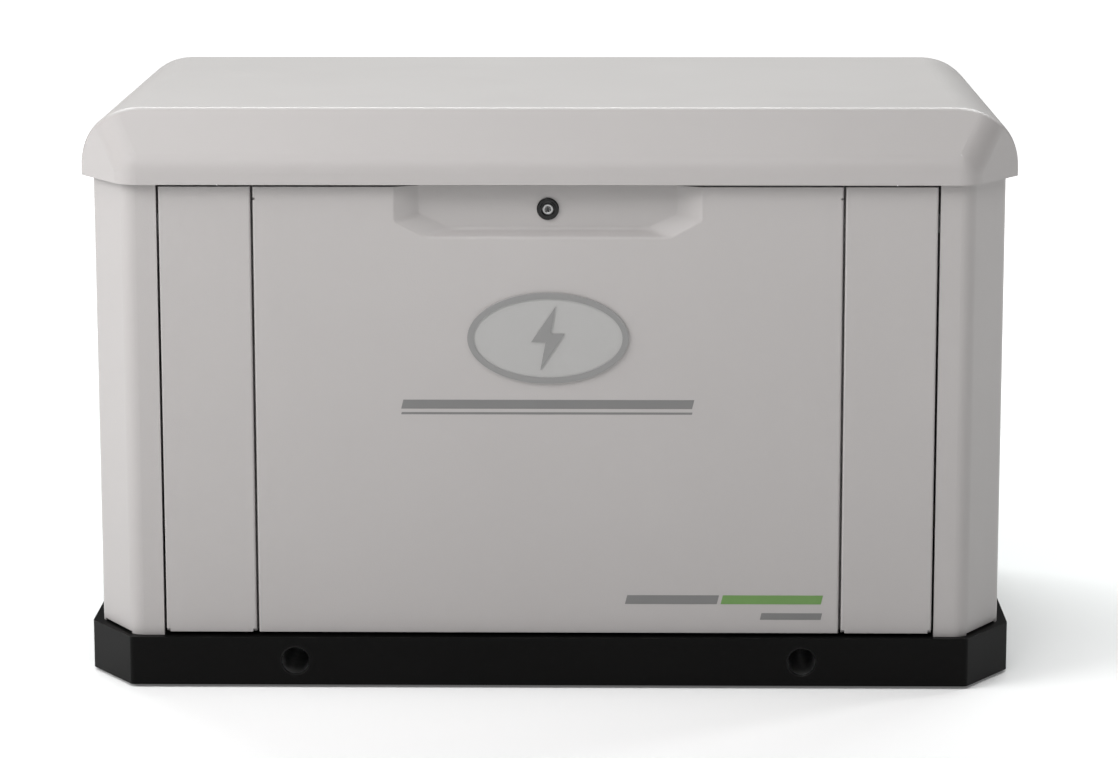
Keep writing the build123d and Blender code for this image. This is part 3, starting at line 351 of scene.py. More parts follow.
LENS_GREEN = moulded("lens_green", tint(0.02, 0.42, 0.06), tint(0.02, 0.36, 0.05), 0.2, 60.0)
LENS_AMBER = moulded("lens_amber", tint(0.75, 0.3, 0.01), tint(0.68, 0.26, 0.01), 0.2, 60.0)
LENS_RED = moulded("lens_red", tint(0.55, 0.012, 0.01), tint(0.48, 0.01, 0.01), 0.2, 60.0)


def paint_nodes():
    """Every CAD node gets its slot's finish."""
    slot_of = {part["node"]: part["material_slot"] for part in frame["record"]["subparts"]}
    own_finish = {"lock_plug": LOCK_FACE, "lock_housing": LOCK_BEZEL, "badge": EMBLEM}
    for name, piece in nodes.items():
        piece.data.materials.clear()
        piece.data.materials.append(own_finish.get(name, SLOT_FINISH[slot_of[name]]))


# ---------------------------------------------------------------- places shared with the CAD

SHAFT = Vector((0.0, 0.02, 0.235))
BANKS = ((-0.315, 45.0), (-0.235, -45.0))
HEAD_TOP = 0.215
COVER_TOP = 0.243
MUFFLER_X = 0.4
MUFFLER_Z = 0.25
MUFFLER_R = 0.085
LIFT_X = 0.334
LIFT_Z = 0.0366
LIFT_R = 0.018
OUTLET_Z = 0.15
OUTLET_R = 0.03
HINGE_X = 0.36
BACK_SCREWS_BELOW = 0.6
SCREW_HEIGHTS = (0.11, 0.3, 0.49, 0.655)
TERMINAL_Y = -0.24
STARTER_LUG = (-0.31, -0.1645, 0.19)
RAIL_LUG = (0.09, -0.1102, 0.088)
PRINT_DEPTH = 0.0002
FUEL_ROUTE = (
    (-0.028, 0.302, 0.4), (-0.09, 0.302, 0.4), (-0.165, 0.296, 0.455), (-0.24, 0.262, 0.515),
    (-0.279, 0.175, 0.528), (-0.275, 0.115, 0.52), (-0.275, 0.0602, 0.52),
)
POSITIVE_ROUTE = (
    (-0.0232, -0.24, 0.269), (-0.075, -0.24, 0.269), (-0.118, -0.238, 0.205), (-0.185, -0.222, 0.135),
    (-0.262, -0.218, 0.13), (-0.306, -0.205, 0.165), (-0.31, -0.19, 0.19), (-0.31, -0.1645, 0.19),
)
NEGATIVE_ROUTE = (
    (0.13, -0.2318, 0.269), (0.13, -0.196, 0.269), (0.128, -0.178, 0.2), (0.118, -0.168, 0.13),
    (0.095, -0.15, 0.088), (0.09, -0.1103, 0.088),
)


# ---------------------------------------------------------------- mesh helpers

def facing(place, direction, spin=0.0):
    """Matrix that puts a shape's Z axis along a direction at a place."""
    turn = Vector(direction).to_track_quat("Z", "Y").to_matrix().to_4x4()
    return Matrix.Translation(place) @ turn @ Matrix.Rotation(spin, 4, "Z")


def add_turned(bm, profile, matrix, steps=32, closed=False):
    """Surface of revolution about the matrix's Z axis. The profile lists (radius, height)."""
    rings = []
    for radius, height in profile:
        count = 1 if radius < 1e-7 else steps
        ring = []
        for step in range(count):
            angle = 2 * math.pi * step / steps
            spot = Vector((radius * math.cos(angle), radius * math.sin(angle), height))
            ring.append(bm.verts.new(matrix @ spot))
        rings.append(ring)
    pairs = list(zip(rings, rings[1:])) + ([(rings[-1], rings[0])] if closed else [])
    for low, high in pairs:
        for step in range(steps):
            loop = [low[step % len(low)], low[(step + 1) % len(low)],
                    high[(step + 1) % len(high)], high[step % len(high)]]
            corners = list(dict.fromkeys(loop))
            if len(corners) > 2:
                bm.faces.new(corners)


def add_prism(bm, outline, low, high, matrix, chamfer=0.0):
    """Upright prism on an outline of (x, y) points, with its top edge cut back by a chamfer."""
    count = len(outline)
    centre = Vector((sum(p[0] for p in outline) / count, sum(p[1] for p in outline) / count))
    levels = [(low, 0.0), (high - chamfer, 0.0)] + ([(high, chamfer)] if chamfer else [])
    rings = []
    for height, cut in levels:
        ring = []
        for x, y in outline:
            arm = Vector((x, y)) - centre
            arm *= 1 - cut / max(arm.length, 1e-6)
            ring.append(bm.verts.new(matrix @ Vector((centre.x + arm.x, centre.y + arm.y, height))))
        rings.append(ring)
    for below, above in zip(rings, rings[1:]):
        for i in range(count):
            bm.faces.new((below[i], below[(i + 1) % count], above[(i + 1) % count], above[i]))
    bm.faces.new(rings[-1])
    bm.faces.new(list(reversed(rings[0])))


def rounded(width, depth, radius, steps=5):
    """Outline of a rectangle with round corners, centred on the origin."""
    points = []
    for quarter, (sx, sy) in enumerate(((1, 1), (-1, 1), (-1, -1), (1, -1))):
        for step in range(steps + 1):
            angle = math.pi / 2 * (quarter + step / steps)
            x = sx * (width / 2 - radius) + radius * math.cos(angle)
            y = sy * (depth / 2 - radius) + radius * math.sin(angle)
            points.append((x, y))
    return points


def hexagon(radius):
    corners = [math.radians(60 * i) for i in range(6)]
    return [(radius * math.cos(a), radius * math.sin(a)) for a in corners]


def add_bolt(bm, place, direction, radius, spin=0.0):
    """Hexagon head on its washer."""
    matrix = facing(place, direction, spin)
    washer = ((0, 0), (radius * 1.45, 0), (radius * 1.45, radius * 0.22), (radius * 1.36, radius * 0.3),
              (0, radius * 0.3))
    add_turned(bm, washer, matrix, 28)
    add_prism(bm, hexagon(radius), radius * 0.3, radius * 1.05, matrix, radius * 0.16)


def add_button_head(bm, place, direction, radius):
    """Domed screw head with a hexagon socket."""
    matrix = facing(place, direction)
    dome = [(0, 0), (radius, 0), (radius, radius * 0.16)]
    angles = [math.radians(degrees) for degrees in (20, 40, 58)]
    dome += [(radius * math.cos(a), radius * (0.16 + 0.42 * math.sin(a))) for a in angles]
    socket = [(radius * 0.46, radius * 0.5), (radius * 0.42, radius * 0.14), (0, radius * 0.14)]
    add_turned(bm, dome + socket, matrix, 24)


def piece(name, bm, finish, body, slot, sharp=32.0, bevel=0.0):
    """Turns a bmesh into an object that rides on a body."""
    bmesh.ops.recalc_face_normals(bm, faces=bm.faces)
    mesh = bpy.data.meshes.new(name)
    bm.to_mesh(mesh)
    bm.free()
    mesh.shade_smooth()
    mesh.set_sharp_from_angle(angle=math.radians(sharp))
    thing = bpy.data.objects.new(name, mesh)
    bpy.context.scene.collection.objects.link(thing)
    mesh.materials.append(finish)
    if bevel:
        soften(thing, bevel)
    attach(thing, body)
    return thing


def soften(thing, width, segments=2, angle=30.0):
    """Small rounded edges, as on any folded or moulded part."""
    flat = thing.modifiers.new("merge_flat_faces", "DECIMATE")
    flat.decimate_type = "DISSOLVE"
    flat.angle_limit = math.radians(0.4)
    round_edges = thing.modifiers.new("round_edges", "BEVEL")
    round_edges.width = width
    round_edges.segments = segments
    round_edges.limit_method = "ANGLE"
    round_edges.angle_limit = math.radians(angle)
    round_edges.harden_normals = True


def run(name, points, radius, finish, body):
    """Round cable or hose along a smooth curve."""
    data = bpy.data.curves.new(name, "CURVE")
    data.dimensions = "3D"
    data.bevel_depth = radius
    data.bevel_resolution = 5
    data.resolution_u = 10
    data.use_fill_caps = True
    line = data.splines.new("NURBS")
    line.points.add(len(points) - 1)
    for target, point in zip(line.points, points):
        target.co = (*point, 1.0)
    line.order_u = 3
    line.use_endpoint_u = True
    thing = bpy.data.objects.new(name, data)
    bpy.context.scene.collection.objects.link(thing)
    data.materials.append(finish)
    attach(thing, body)
    return thing


# ---------------------------------------------------------------- outside of the cabinet

def stripe_outline(left, right, low, high, slant):
    return [(left, low), (right, low), (right + slant, high), (left + slant, high)]


def make_stripes():
    """Plain two-tone stripes printed on the front panel."""
    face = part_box("front_panel")[0].y
    upright = Matrix.Translation((0, face, 0)) @ Matrix.Rotation(math.pi / 2, 4, "X")
    grey_parts = ((0.101, 0.222, 0.112, 0.124, 0.003), (0.279, 0.359, 0.091, 0.1, 0.002))
    green_parts = ((0.227, 0.359, 0.112, 0.124, 0.003),)
    stripes = (("stripe_grey", grey_parts, STRIPE_GREY), ("stripe_green", green_parts, STRIPE_GREEN))
    for name, parts, finish in stripes:
        bm = bmesh.new()
        for part in parts:
            add_prism(bm, stripe_outline(*part), 0.0, PRINT_DEPTH, upright)
        piece(name, bm, finish, "front_panel", "badge_grey")
    bm = bmesh.new()
    for low, high in ((0.3665, 0.3695), (0.374, 0.386)):
        outline = stripe_outline(-0.192, 0.188, low, high, (high - low) / 4)
        add_prism(bm, outline, 0.0, PRINT_DEPTH, upright)
    piece("accent_lines", bm, STRIPE_GREY, "front_panel", "badge_grey")


def make_lock_details():
    """Polished ring and six pins of the tubular lock, and the raised inner edge of its bezel."""
    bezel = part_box("lock_housing")
    height = (bezel[0].z + bezel[1].z) / 2
    toward = facing((0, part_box("lock_plug")[0].y, height), (0, -1, 0))
    bm = bmesh.new()
    ring = ((0.0042, -0.001), (0.0042, 0.0004), (0.0048, 0.0008), (0.0062, 0.0008), (0.0069, 0.0),
            (0.0069, -0.001))
    add_turned(bm, ring, toward, 40, closed=True)
    for step in range(6):
        spot = Matrix.Rotation(math.radians(60 * step + 20), 4, "Z") @ Vector((0.0031, 0, 0))
        add_turned(bm, ((0, -0.001), (0.0006, -0.001), (0.0006, 0.0003), (0.0003, 0.0006), (0, 0.0006)),
                   toward @ Matrix.Translation(spot), 12)
    piece("lock_core_ring", bm, LOCK_RING, "lock_plug", "chrome")
    bm = bmesh.new()
    rim = ((0.0082, 0.0), (0.0082, 0.0006), (0.0094, 0.001), (0.0104, 0.0006), (0.0104, 0.0))
    add_turned(bm, rim, facing((0, bezel[0].y, height), (0, -1, 0)), 48, closed=True)
    piece("lock_bezel_ring", bm, LOCK_BEZEL, "front_panel", "lock_black")


def make_wall_screws():
    """Socket screws in the side and back walls, in place of the plain CAD heads."""
    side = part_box("side_panel_left")
    reach = abs(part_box("corner_posts_rear")[0].x)
    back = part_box("corner_posts_rear")[1].y
    bm = bmesh.new()
    for height in SCREW_HEIGHTS:
        for sign in (-1, 1):
            for y in (side[0].y + 0.011, side[1].y - 0.009):
                add_button_head(bm, (sign * reach, y, height), (sign, 0, 0), 0.005)
            if height < BACK_SCREWS_BELOW:
                x = sign * (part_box("rear_panel")[1].x - 0.0145)
                add_button_head(bm, (x, back, height), (0, 1, 0), 0.005)
    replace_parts(piece("wall_screws", bm, SLOT_FINISH["zinc_steel"], "cabinet", "zinc_steel"), "panel_screws")


def make_hinge_screws():
    """Three screws in each hinge leaf on the back wall."""
    bm = bmesh.new()
    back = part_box("hinge_leaves_cabinet")
    for side in (-1, 1):
        for shift in (-0.028, 0.0, 0.028):
            add_button_head(bm, (side * HINGE_X + shift, back[0].y + 0.0025, 0.652), (0, 1, 0), 0.0045)
    piece("hinge_screws", bm, SLOT_FINISH["zinc_steel"], "cabinet", "zinc_steel")


def make_outlet_guard():
    """Pressed ring round the exhaust outlet in the right wall."""
    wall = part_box("corner_posts_front")[1].x
    bm = bmesh.new()
    ring = ((OUTLET_R, -0.001), (OUTLET_R, 0.0012), (0.032, 0.0024), (0.041, 0.0024), (0.043, 0.001),
            (0.043, -0.0002))
    add_turned(bm, ring, facing((wall, 0, OUTLET_Z), (1, 0, 0)), 64, closed=True)
    screw_circle = 0.0365
    for step in range(4):
        angle = math.radians(45 + 90 * step)
        spot = (wall + 0.0023, screw_circle * math.cos(angle), OUTLET_Z + screw_circle * math.sin(angle))
        add_button_head(bm, spot, (1, 0, 0), 0.0028)
    piece("outlet_guard", bm, SLOT_FINISH["zinc_steel"], "cabinet", "zinc_steel")


def make_base_hardware():
    """Raised rims round the four lifting holes."""
    low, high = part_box("base_pan")
    rim = ((LIFT_R, -0.003), (LIFT_R, 0.0), (0.0186, 0.0004), (0.0196, 0.0004), (0.0202, 0.0),
           (0.0202, -0.003))
    bm = bmesh.new()
    for side in (-1, 1):
        for y, way in ((low.y, -1), (high.y, 1)):
            add_turned(bm, rim, facing((side * LIFT_X, y, LIFT_Z), (0, way, 0)), 56, closed=True)
    # The rims' paler edges are a painted glint.
    piece("lifting_eye_rims", bm, RIM_PAINT_WITH_GLINT, "cabinet", "base_paint")


# ---------------------------------------------------------------- roof

def make_lining():
    """Convoluted foam glued under the roof, in place of its plain CAD slab."""
    low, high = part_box("lid_lining")
    corner = 0.03
    pitch = 0.036
    step = pitch / 8
    columns = round((high.x - low.x) / step)
    rows = round((high.y - low.y) / step)
    bm = bmesh.new()
    bottom = []
    for j in range(rows + 1):
        line = []
        for i in range(columns + 1):
            x = low.x + (high.x - low.x) * i / columns
            y = low.y + (high.y - low.y) * j / rows
            edge = min(x - low.x, high.x - x, y - low.y, high.y - y)
            inner_x = max(abs(x) - (high.x - corner), 0)
            inner_y = max(abs(y) - (high.y - corner), 0)
            past = math.hypot(inner_x, inner_y)
            if past > corner:
                x = math.copysign(high.x - corner + inner_x * corner / past, x)
                y = math.copysign(high.y - corner + inner_y * corner / past, y)
            rise = min(edge / 0.02, 1.0)
            wave = math.sin(2 * math.pi * x / pitch) * math.sin(2 * math.pi * y / pitch)
            depth = 0.0075 * (1 - rise) ** 2 + rise * (0.008 - 0.007 * wave)
            line.append(bm.verts.new((x, y, low.z + 0.0003 + depth)))
        bottom.append(line)
    for j in range(rows):
        for i in range(columns):
            bm.faces.new((bottom[j][i], bottom[j + 1][i], bottom[j + 1][i + 1], bottom[j][i + 1]))
    rim = [e for e in bm.edges if e.is_boundary]
    lifted = bmesh.ops.extrude_edge_only(bm, edges=rim)["geom"]
    for vert in (v for v in lifted if isinstance(v, bmesh.types.BMVert)):
        vert.co.z = high.z - 0.0002
    top = [e for e in bm.edges if e.is_boundary]
    bmesh.ops.contextual_create(bm, geom=top)
    lining = piece("roof_lining", bm, SLOT_FINISH["lining_foam"], "lid", "lining_foam", sharp=60)
    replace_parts(lining, "lid_lining")


def make_roof_hardware():
    """Bolts of the strut brackets and of the hinge leaves under the roof."""
    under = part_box("lid_brackets")[1].z - 0.003
    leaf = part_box("hinge_leaves_lid")
    bm = bmesh.new()
    for side in (-1, 1):
        for y in (0.209, 0.241):
            add_bolt(bm, (side * 0.5235, y, under), (0, 0, -1), 0.004)
        for shift in (-0.027, 0.027):
            spot = (side * HINGE_X + shift, leaf[1].y - 0.0025, leaf[1].z - 0.003)
            add_button_head(bm, spot, (0, -1, 0), 0.0035)
    piece("roof_bolts", bm, SLOT_FINISH["zinc_steel"], "lid", "zinc_steel")


# ---------------------------------------------------------------- engine

def bank_frame(x, tilt):
    """Matrix whose Z runs out along a cylinder, with X along the crankshaft."""
    return Matrix.Translation((x, SHAFT.y, SHAFT.z)) @ Matrix.Rotation(math.radians(tilt), 4, "X")


def make_engine_bolts():
    """Bolts of the valve covers, the heads and the intake manifold."""
    bm = bmesh.new()
    for x, tilt in BANKS:
        frame_of_bank = bank_frame(x, tilt)
        outward = frame_of_bank.to_3x3() @ Vector((0, 0, 1))
        for sx in (-1, 1):
            for sy in (-1, 1):
                cover_bolt = frame_of_bank @ Vector((sx * 0.03, sy * 0.035, COVER_TOP - 0.0002))
                add_bolt(bm, cover_bolt, outward, 0.0045, 0.3 * sx + 0.5 * sy)
                head_bolt = frame_of_bank @ Vector((sx * 0.049, sy * 0.047, HEAD_TOP - 0.0002))
                add_bolt(bm, head_bolt, outward, 0.0045, 0.6 * sx)
    for x in (-0.295, -0.255):
        for y in (-0.017, 0.057):
            add_bolt(bm, (x, y, 0.4899), (0, 0, 1), 0.004, x * 9)
    piece("engine_bolts", bm, SLOT_FINISH["zinc_steel"], "cabinet", "zinc_steel")


def make_cover_ribs():
    """Raised ribs cast on top of both valve covers."""
    bm = bmesh.new()
    for x, tilt in BANKS:
        frame_of_bank = bank_frame(x, tilt)
        for shift in (-0.014, 0.0, 0.014):
            place = frame_of_bank @ Matrix.Translation((shift, 0, 0))
            rib = rounded(0.005, 0.056, 0.0024)
            add_prism(bm, rib, COVER_TOP - 0.0004, COVER_TOP + 0.002, place, 0.0008)
    piece("valve_cover_ribs", bm, SLOT_FINISH["cover_black"], "cabinet", "cover_black")


def make_oil_cap():
    """Ribbed oil filler cap on the front valve cover."""
    x, tilt = BANKS[1]
    place = bank_frame(x, tilt) @ Matrix.Translation((0.026, 0.0, COVER_TOP - 0.0004))
    bm = bmesh.new()
    knob = ((0, 0), (0.0135, 0), (0.0135, 0.002), (0.012, 0.003), (0.012, 0.009), (0.0108, 0.0104),
            (0, 0.0108))
    add_turned(bm, knob, place, 48)
    for step in range(12):
        grip = place @ Matrix.Rotation(math.radians(30 * step), 4, "Z") @ Matrix.Translation((0.0122, 0, 0))
        add_prism(bm, rounded(0.0016, 0.003, 0.0006, 2), 0.003, 0.0092, grip, 0.0004)
    piece("oil_filler_cap", bm, SLOT_FINISH["handle_yellow"], "cabinet", "handle_yellow")


def make_air_cleaner_clips():
    """Wire clips that hold the air cleaner's cover down, and two raised ribs on it."""
    low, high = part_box("air_cleaner_cover")
    middle_x = (low.x + high.x) / 2
    middle_y = (low.y + high.y) / 2
    places = [(sign, middle_x + shift) for sign in (-1, 1) for shift in (-0.07, 0.07)]
    for index, (sign, x) in enumerate(places):
        out = (low.y if sign < 0 else high.y) + sign * 0.0025
        bowed = out + sign * 0.002
        points = ((x - 0.014, out, low.z - 0.018), (x - 0.014, bowed, low.z + 0.004),
                  (x - 0.013, out, low.z + 0.017), (x, out, low.z + 0.021),
                  (x + 0.013, out, low.z + 0.017), (x + 0.014, bowed, low.z + 0.004),
                  (x + 0.014, out, low.z - 0.018))
        name = "air_cleaner_clip_%d" % (index + 1)
        run(name, points, 0.0012, SLOT_FINISH["bright_steel"], "cabinet")
    bm = bmesh.new()
    top = Matrix.Translation((middle_x, middle_y, 0))
    for width, depth in ((0.2, 0.16), (0.13, 0.09)):
        outer = rounded(width, depth, 0.02, 8)
        inner = rounded(width - 0.008, depth - 0.008, 0.017, 8)
        add_frame(bm, outer, inner, high.z - 0.0005, high.z + 0.0018, top)
    finish = SLOT_FINISH["moulded_black"]
    piece("air_cleaner_ribs", bm, finish, "cabinet", "moulded_black", bevel=0.0005)


def add_frame(bm, outer, inner, low, high, matrix):
    """Flat frame between two outlines with the same number of points."""
    rings = []
    for outline, height in ((outer, low), (outer, high), (inner, high), (inner, low)):
        rings.append([bm.verts.new(matrix @ Vector((x, y, height))) for x, y in outline])
    count = len(outer)
    for below, above in zip(rings, rings[1:] + rings[:1]):
        for i in range(count):
            bm.faces.new((below[i], below[(i + 1) % count], above[(i + 1) % count], above[i]))


def make_blower_details():
    """Screws and a stiffening bead on the front of the blower housing."""
    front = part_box("blower_housing")[0].x
    screw_circle = 0.132
    bm = bmesh.new()
    for step in range(8):
        angle = math.radians(45 * step + 22.5)
        if math.sin(angle) > 0.5:
            continue
        spot = (front - 0.0001, SHAFT.y + screw_circle * math.cos(angle),
                SHAFT.z + screw_circle * math.sin(angle))
        add_button_head(bm, spot, (-1, 0, 0), 0.0045)
    piece("blower_screws", bm, SLOT_FINISH["zinc_steel"], "cabinet", "zinc_steel")
    bm = bmesh.new()
    turns = [math.pi * i / 6 for i in range(7)]
    bead = [(0.104 + 0.0035 * math.cos(t), 0.0016 * math.sin(t)) for t in turns]
    foot = [(0.1005, -0.0005), (0.1075, -0.0005)]
    add_turned(bm, bead + foot, facing((front, SHAFT.y, SHAFT.z), (-1, 0, 0)), 72, closed=True)
    piece("blower_bead", bm, SLOT_FINISH["cover_black"], "cabinet", "cover_black")


def make_alternator_details():
    """Through bolts of the alternator, and the varnished end windings inside its end bell."""
    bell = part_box("alternator_end_bell")
    bolt_circle = 0.108
    coils = 36
    bm = bmesh.new()
    for step in range(4):
        angle = math.radians(90 * step + 45)
        spot = (bell[1].x, SHAFT.y + bolt_circle * math.cos(angle),
                SHAFT.z + bolt_circle * math.sin(angle))
        add_bolt(bm, spot, (1, 0, 0), 0.005, step)
    piece("alternator_bolts", bm, SLOT_FINISH["zinc_steel"], "cabinet", "zinc_steel")
    bm = bmesh.new()
    along = facing((bell[0].x, SHAFT.y, SHAFT.z), (1, 0, 0))
    turns = [2 * math.pi * i / 14 for i in range(14)]
    coil = [(0.0075 * math.cos(t), 0.0125 * math.sin(t)) for t in turns]
    for step in range(coils):
        around = Matrix.Rotation(2 * math.pi * step / coils, 4, "Z")
        turn = along @ around @ Matrix.Translation((0.107, 0, 0.0135))
        flat = turn @ Matrix.Rotation(math.pi / 2, 4, "X") @ Matrix.Translation((0, 0, -0.0085))
        add_prism(bm, coil, 0.0, 0.017, flat, 0.0)
    piece("end_windings", bm, COPPER, "cabinet", "winding_steel", bevel=0.002)


def make_hose_clamps():
    """Worm-drive clamp at each end of the fuel hose."""
    bm = bmesh.new()
    ends = (((-0.028 - 0.012, 0.302, 0.4), (-1, 0, 0)), ((-0.275, 0.078, 0.52), (0, 1, 0)))
    for place, along in ends:
        ring = ((0.0102, -0.006), (0.0113, -0.006), (0.0113, 0.006), (0.0102, 0.006))
        add_turned(bm, ring, facing(place, along), 40, closed=True)
        side = facing(place, along) @ Matrix.Translation((0.0135, 0, 0))
        add_prism(bm, rounded(0.006, 0.014, 0.001, 2), -0.0062, 0.0062, side, 0.0006)
        screw = side @ Vector((0.0005, 0.007, 0))
        add_bolt(bm, screw, side.to_3x3() @ Vector((0, 1, 0)), 0.0028)
    piece("hose_clamps", bm, SLOT_FINISH["zinc_steel"], "cabinet", "zinc_steel")


def make_hose_and_cables():
    """The fuel hose and both battery cables, in place of their plain CAD tubes."""
    hose = run("fuel_line", FUEL_ROUTE, 0.0098, HOSE_RUBBER, "cabinet")
    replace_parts(hose, "fuel_hose")
    positive = run("positive_cable", POSITIVE_ROUTE, 0.0049, CABLE_RED, "cabinet")
    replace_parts(positive, "battery_cables")
    negative = run("negative_cable", NEGATIVE_ROUTE, 0.0049, CABLE_BLACK, "cabinet")
    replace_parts(negative, "battery_cables")


def make_battery_details():
    """Vent caps, terminal clamps with their boots, and the lugs at the cables' far ends."""
    low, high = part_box("battery")
    top = high.z - 0.014
    bm = bmesh.new()
    middle = (low.y + high.y) / 2
    for step in range(6):
        place = Matrix.Translation((low.x + 0.028 + 0.0275 * step, middle - 0.018, top - 0.0002))
        cap = ((0, 0), (0.0095, 0), (0.0095, 0.0022), (0.0088, 0.003), (0.0035, 0.003), (0.003, 0.0024),
               (0, 0.0024))
        add_turned(bm, cap, place, 32)
    piece("battery_caps", bm, SLOT_FINISH["moulded_black"], "cabinet", "moulded_black")
    clamps = (("positive_clamp", -0.015, CABLE_RED, -1), ("negative_clamp", 0.13, CABLE_BLACK, 0))
    y = TERMINAL_Y
    for name, x, finish, way in clamps:
        bm = bmesh.new()
        sleeve = ((0.0082, 0.001), (0.0115, 0.001), (0.0115, 0.0095), (0.0105, 0.0105), (0.0082, 0.0105))
        add_turned(bm, sleeve, Matrix.Translation((x, y, top)), 36, closed=True)
        piece(name, bm, SLOT_FINISH["zinc_steel"], "cabinet", "zinc_steel")
        bm = bmesh.new()
        if way < 0:
            start, along = (x - 0.0105, y, top + 0.007), (-1, 0, 0)
        else:
            start, along = (x, y + 0.0105, top + 0.007), (0, 1, 0)
        boot = ((0, -0.001), (0.0074, -0.001), (0.0074, 0.006), (0.0066, 0.016), (0.0058, 0.024),
                (0.0052, 0.025), (0, 0.025))
        add_turned(bm, boot, facing(start, along), 28)
        piece(name.replace("clamp", "boot"), bm, finish, "cabinet", "rubber")
    bm = bmesh.new()
    add_bolt(bm, (-0.31, -0.1648, 0.19), (0, -1, 0), 0.005)
    for place in (STARTER_LUG, RAIL_LUG):
        lug = ((0, 0), (0.009, 0), (0.009, 0.0018), (0, 0.0018))
        add_turned(bm, lug, facing(place, (0, -1, 0)), 28)
    add_bolt(bm, (0.09, -0.112, 0.088), (0, -1, 0), 0.005)
    piece("cable_lugs", bm, SLOT_FINISH["zinc_steel"], "cabinet", "zinc_steel")


def make_muffler_details():
    """Two bands round the muffler, and the rolled seams at its ends."""
    low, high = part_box("muffler")
    radius = MUFFLER_R
    bm = bmesh.new()
    for y in (-0.15, 0.15):
        band = ((radius + 0.0002, -0.011), (radius + 0.0018, -0.011), (radius + 0.0018, 0.011),
                (radius + 0.0002, 0.011))
        add_turned(bm, band, facing((MUFFLER_X, y, MUFFLER_Z), (0, 1, 0)), 96, closed=True)
    turns = [math.pi * (i / 6 - 0.5) for i in range(7)]
    seam = [(radius - 0.0004 + 0.0026 * math.cos(t), 0.003 * math.sin(t)) for t in turns]
    for y in (low.y + 0.0155, high.y - 0.0155):
        add_turned(bm, seam, facing((MUFFLER_X, y, MUFFLER_Z), (0, 1, 0)), 96, closed=True)
    piece("muffler_bands", bm, SLOT_FINISH["exhaust_steel"], "cabinet", "exhaust_steel")


# ---------------------------------------------------------------- controls

def make_display():
    """Display window and bezel, plain bars on it, three status lenses and an outline round the buttons."""
    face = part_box("control_box")[0].y
    upright = Matrix.Translation((0.03, face, 0.573)) @ Matrix.Rotation(math.pi / 2, 4, "X")
    bm = bmesh.new()
    add_prism(bm, rounded(0.0955, 0.0555, 0.002), -0.0014, -0.0003, upright, 0.0002)
    piece("display_window", bm, SCREEN, "cabinet", "breaker_black")
    bm = bmesh.new()
    add_frame(bm, rounded(0.104, 0.064, 0.005, 6), rounded(0.09, 0.05, 0.003, 6), 0.0001, 0.0018, upright)
    finish = SLOT_FINISH["moulded_black"]
    piece("display_bezel", bm, finish, "cabinet", "moulded_black", bevel=0.0004)
    bm = bmesh.new()
    for x, width in ((-0.028, 0.02), (-0.001, 0.02), (0.026, 0.02)):
        place = upright @ Matrix.Translation((x, -0.012, 0))
        add_prism(bm, rounded(width, 0.0022, 0.0008, 2), -0.0003, -0.00015, place)
    for level in range(5):
        bar = upright @ Matrix.Translation((-0.034 + 0.009 * level, 0.006, 0))
        add_prism(bm, rounded(0.006, 0.006 + 0.0024 * level, 0.0006, 2), -0.0003, -0.00015, bar)
    piece("display_segments", bm, SEGMENTS, "cabinet", "button_green")
    for index, (x, finish) in enumerate(((-0.005, LENS_GREEN), (0.025, LENS_AMBER), (0.055, LENS_RED))):
        bm = bmesh.new()
        place = facing((x, face, 0.53), (0, -1, 0))
        angles = [math.radians(degrees) for degrees in (0, 20, 40, 60, 80)]
        dome = [(0.0028 * math.cos(a), 0.0004 + 0.0018 * math.sin(a)) for a in angles]
        add_turned(bm, [(0, -0.0005), (0.0028, -0.0005)] + dome + [(0, 0.0022)], place, 28)
        piece("status_lens_%d" % (index + 1), bm, finish, "cabinet", "button_green")
    bm = bmesh.new()
    keys = Matrix.Translation((0.025, face, 0.5185)) @ Matrix.Rotation(math.pi / 2, 4, "X")
    add_frame(bm, rounded(0.1, 0.055, 0.006, 6), rounded(0.0985, 0.0535, 0.0054, 6), 0.0, 0.00035, keys)
    piece("keypad_outline", bm, STRIPE_GREY, "cabinet", "badge_grey")


def make_button_marks():
    """Plain raised marks on the buttons: a ring, a dot, and a ring with a dot."""
    ring = (0.0026, 0.0036)
    marks = {"button_off": (ring,), "button_manual": ((0.0, 0.0016),), "button_auto": (ring, (0.0, 0.0012))}
    for name, rings in marks.items():
        low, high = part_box(name)
        place = facing(((low.x + high.x) / 2, low.y, (low.z + high.z) / 2), (0, -1, 0))
        bm = bmesh.new()
        for inner, outer in rings:
            if inner:
                band = ((inner, -0.0001), (inner, 0.0002), (outer, 0.0002), (outer, -0.0001))
                add_turned(bm, band, place, 32, closed=True)
            else:
                add_turned(bm, ((0, -0.0001), (outer, -0.0001), (outer, 0.0002), (0, 0.0002)), place, 24)
        piece(name + "_mark", bm, MARK_WHITE, name, "button_grey")


def make_box_screws():
    """Screws of the control box and of the circuit breaker."""
    low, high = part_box("control_box")
    bm = bmesh.new()
    for x in (low.x + 0.009, high.x - 0.009):
        for z in (low.z + 0.009, high.z - 0.009):
            add_button_head(bm, (x, low.y, z), (0, -1, 0), 0.0035)
    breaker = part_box("circuit_breaker")
    middle = (breaker[0].x + breaker[1].x) / 2
    for z in (breaker[0].z + 0.008, breaker[1].z - 0.008):
        add_button_head(bm, (middle, breaker[0].y, z), (0, -1, 0), 0.003)
    piece("control_screws", bm, SLOT_FINISH["zinc_steel"], "cabinet", "zinc_steel")


# ---------------------------------------------------------------- camera, light and floor

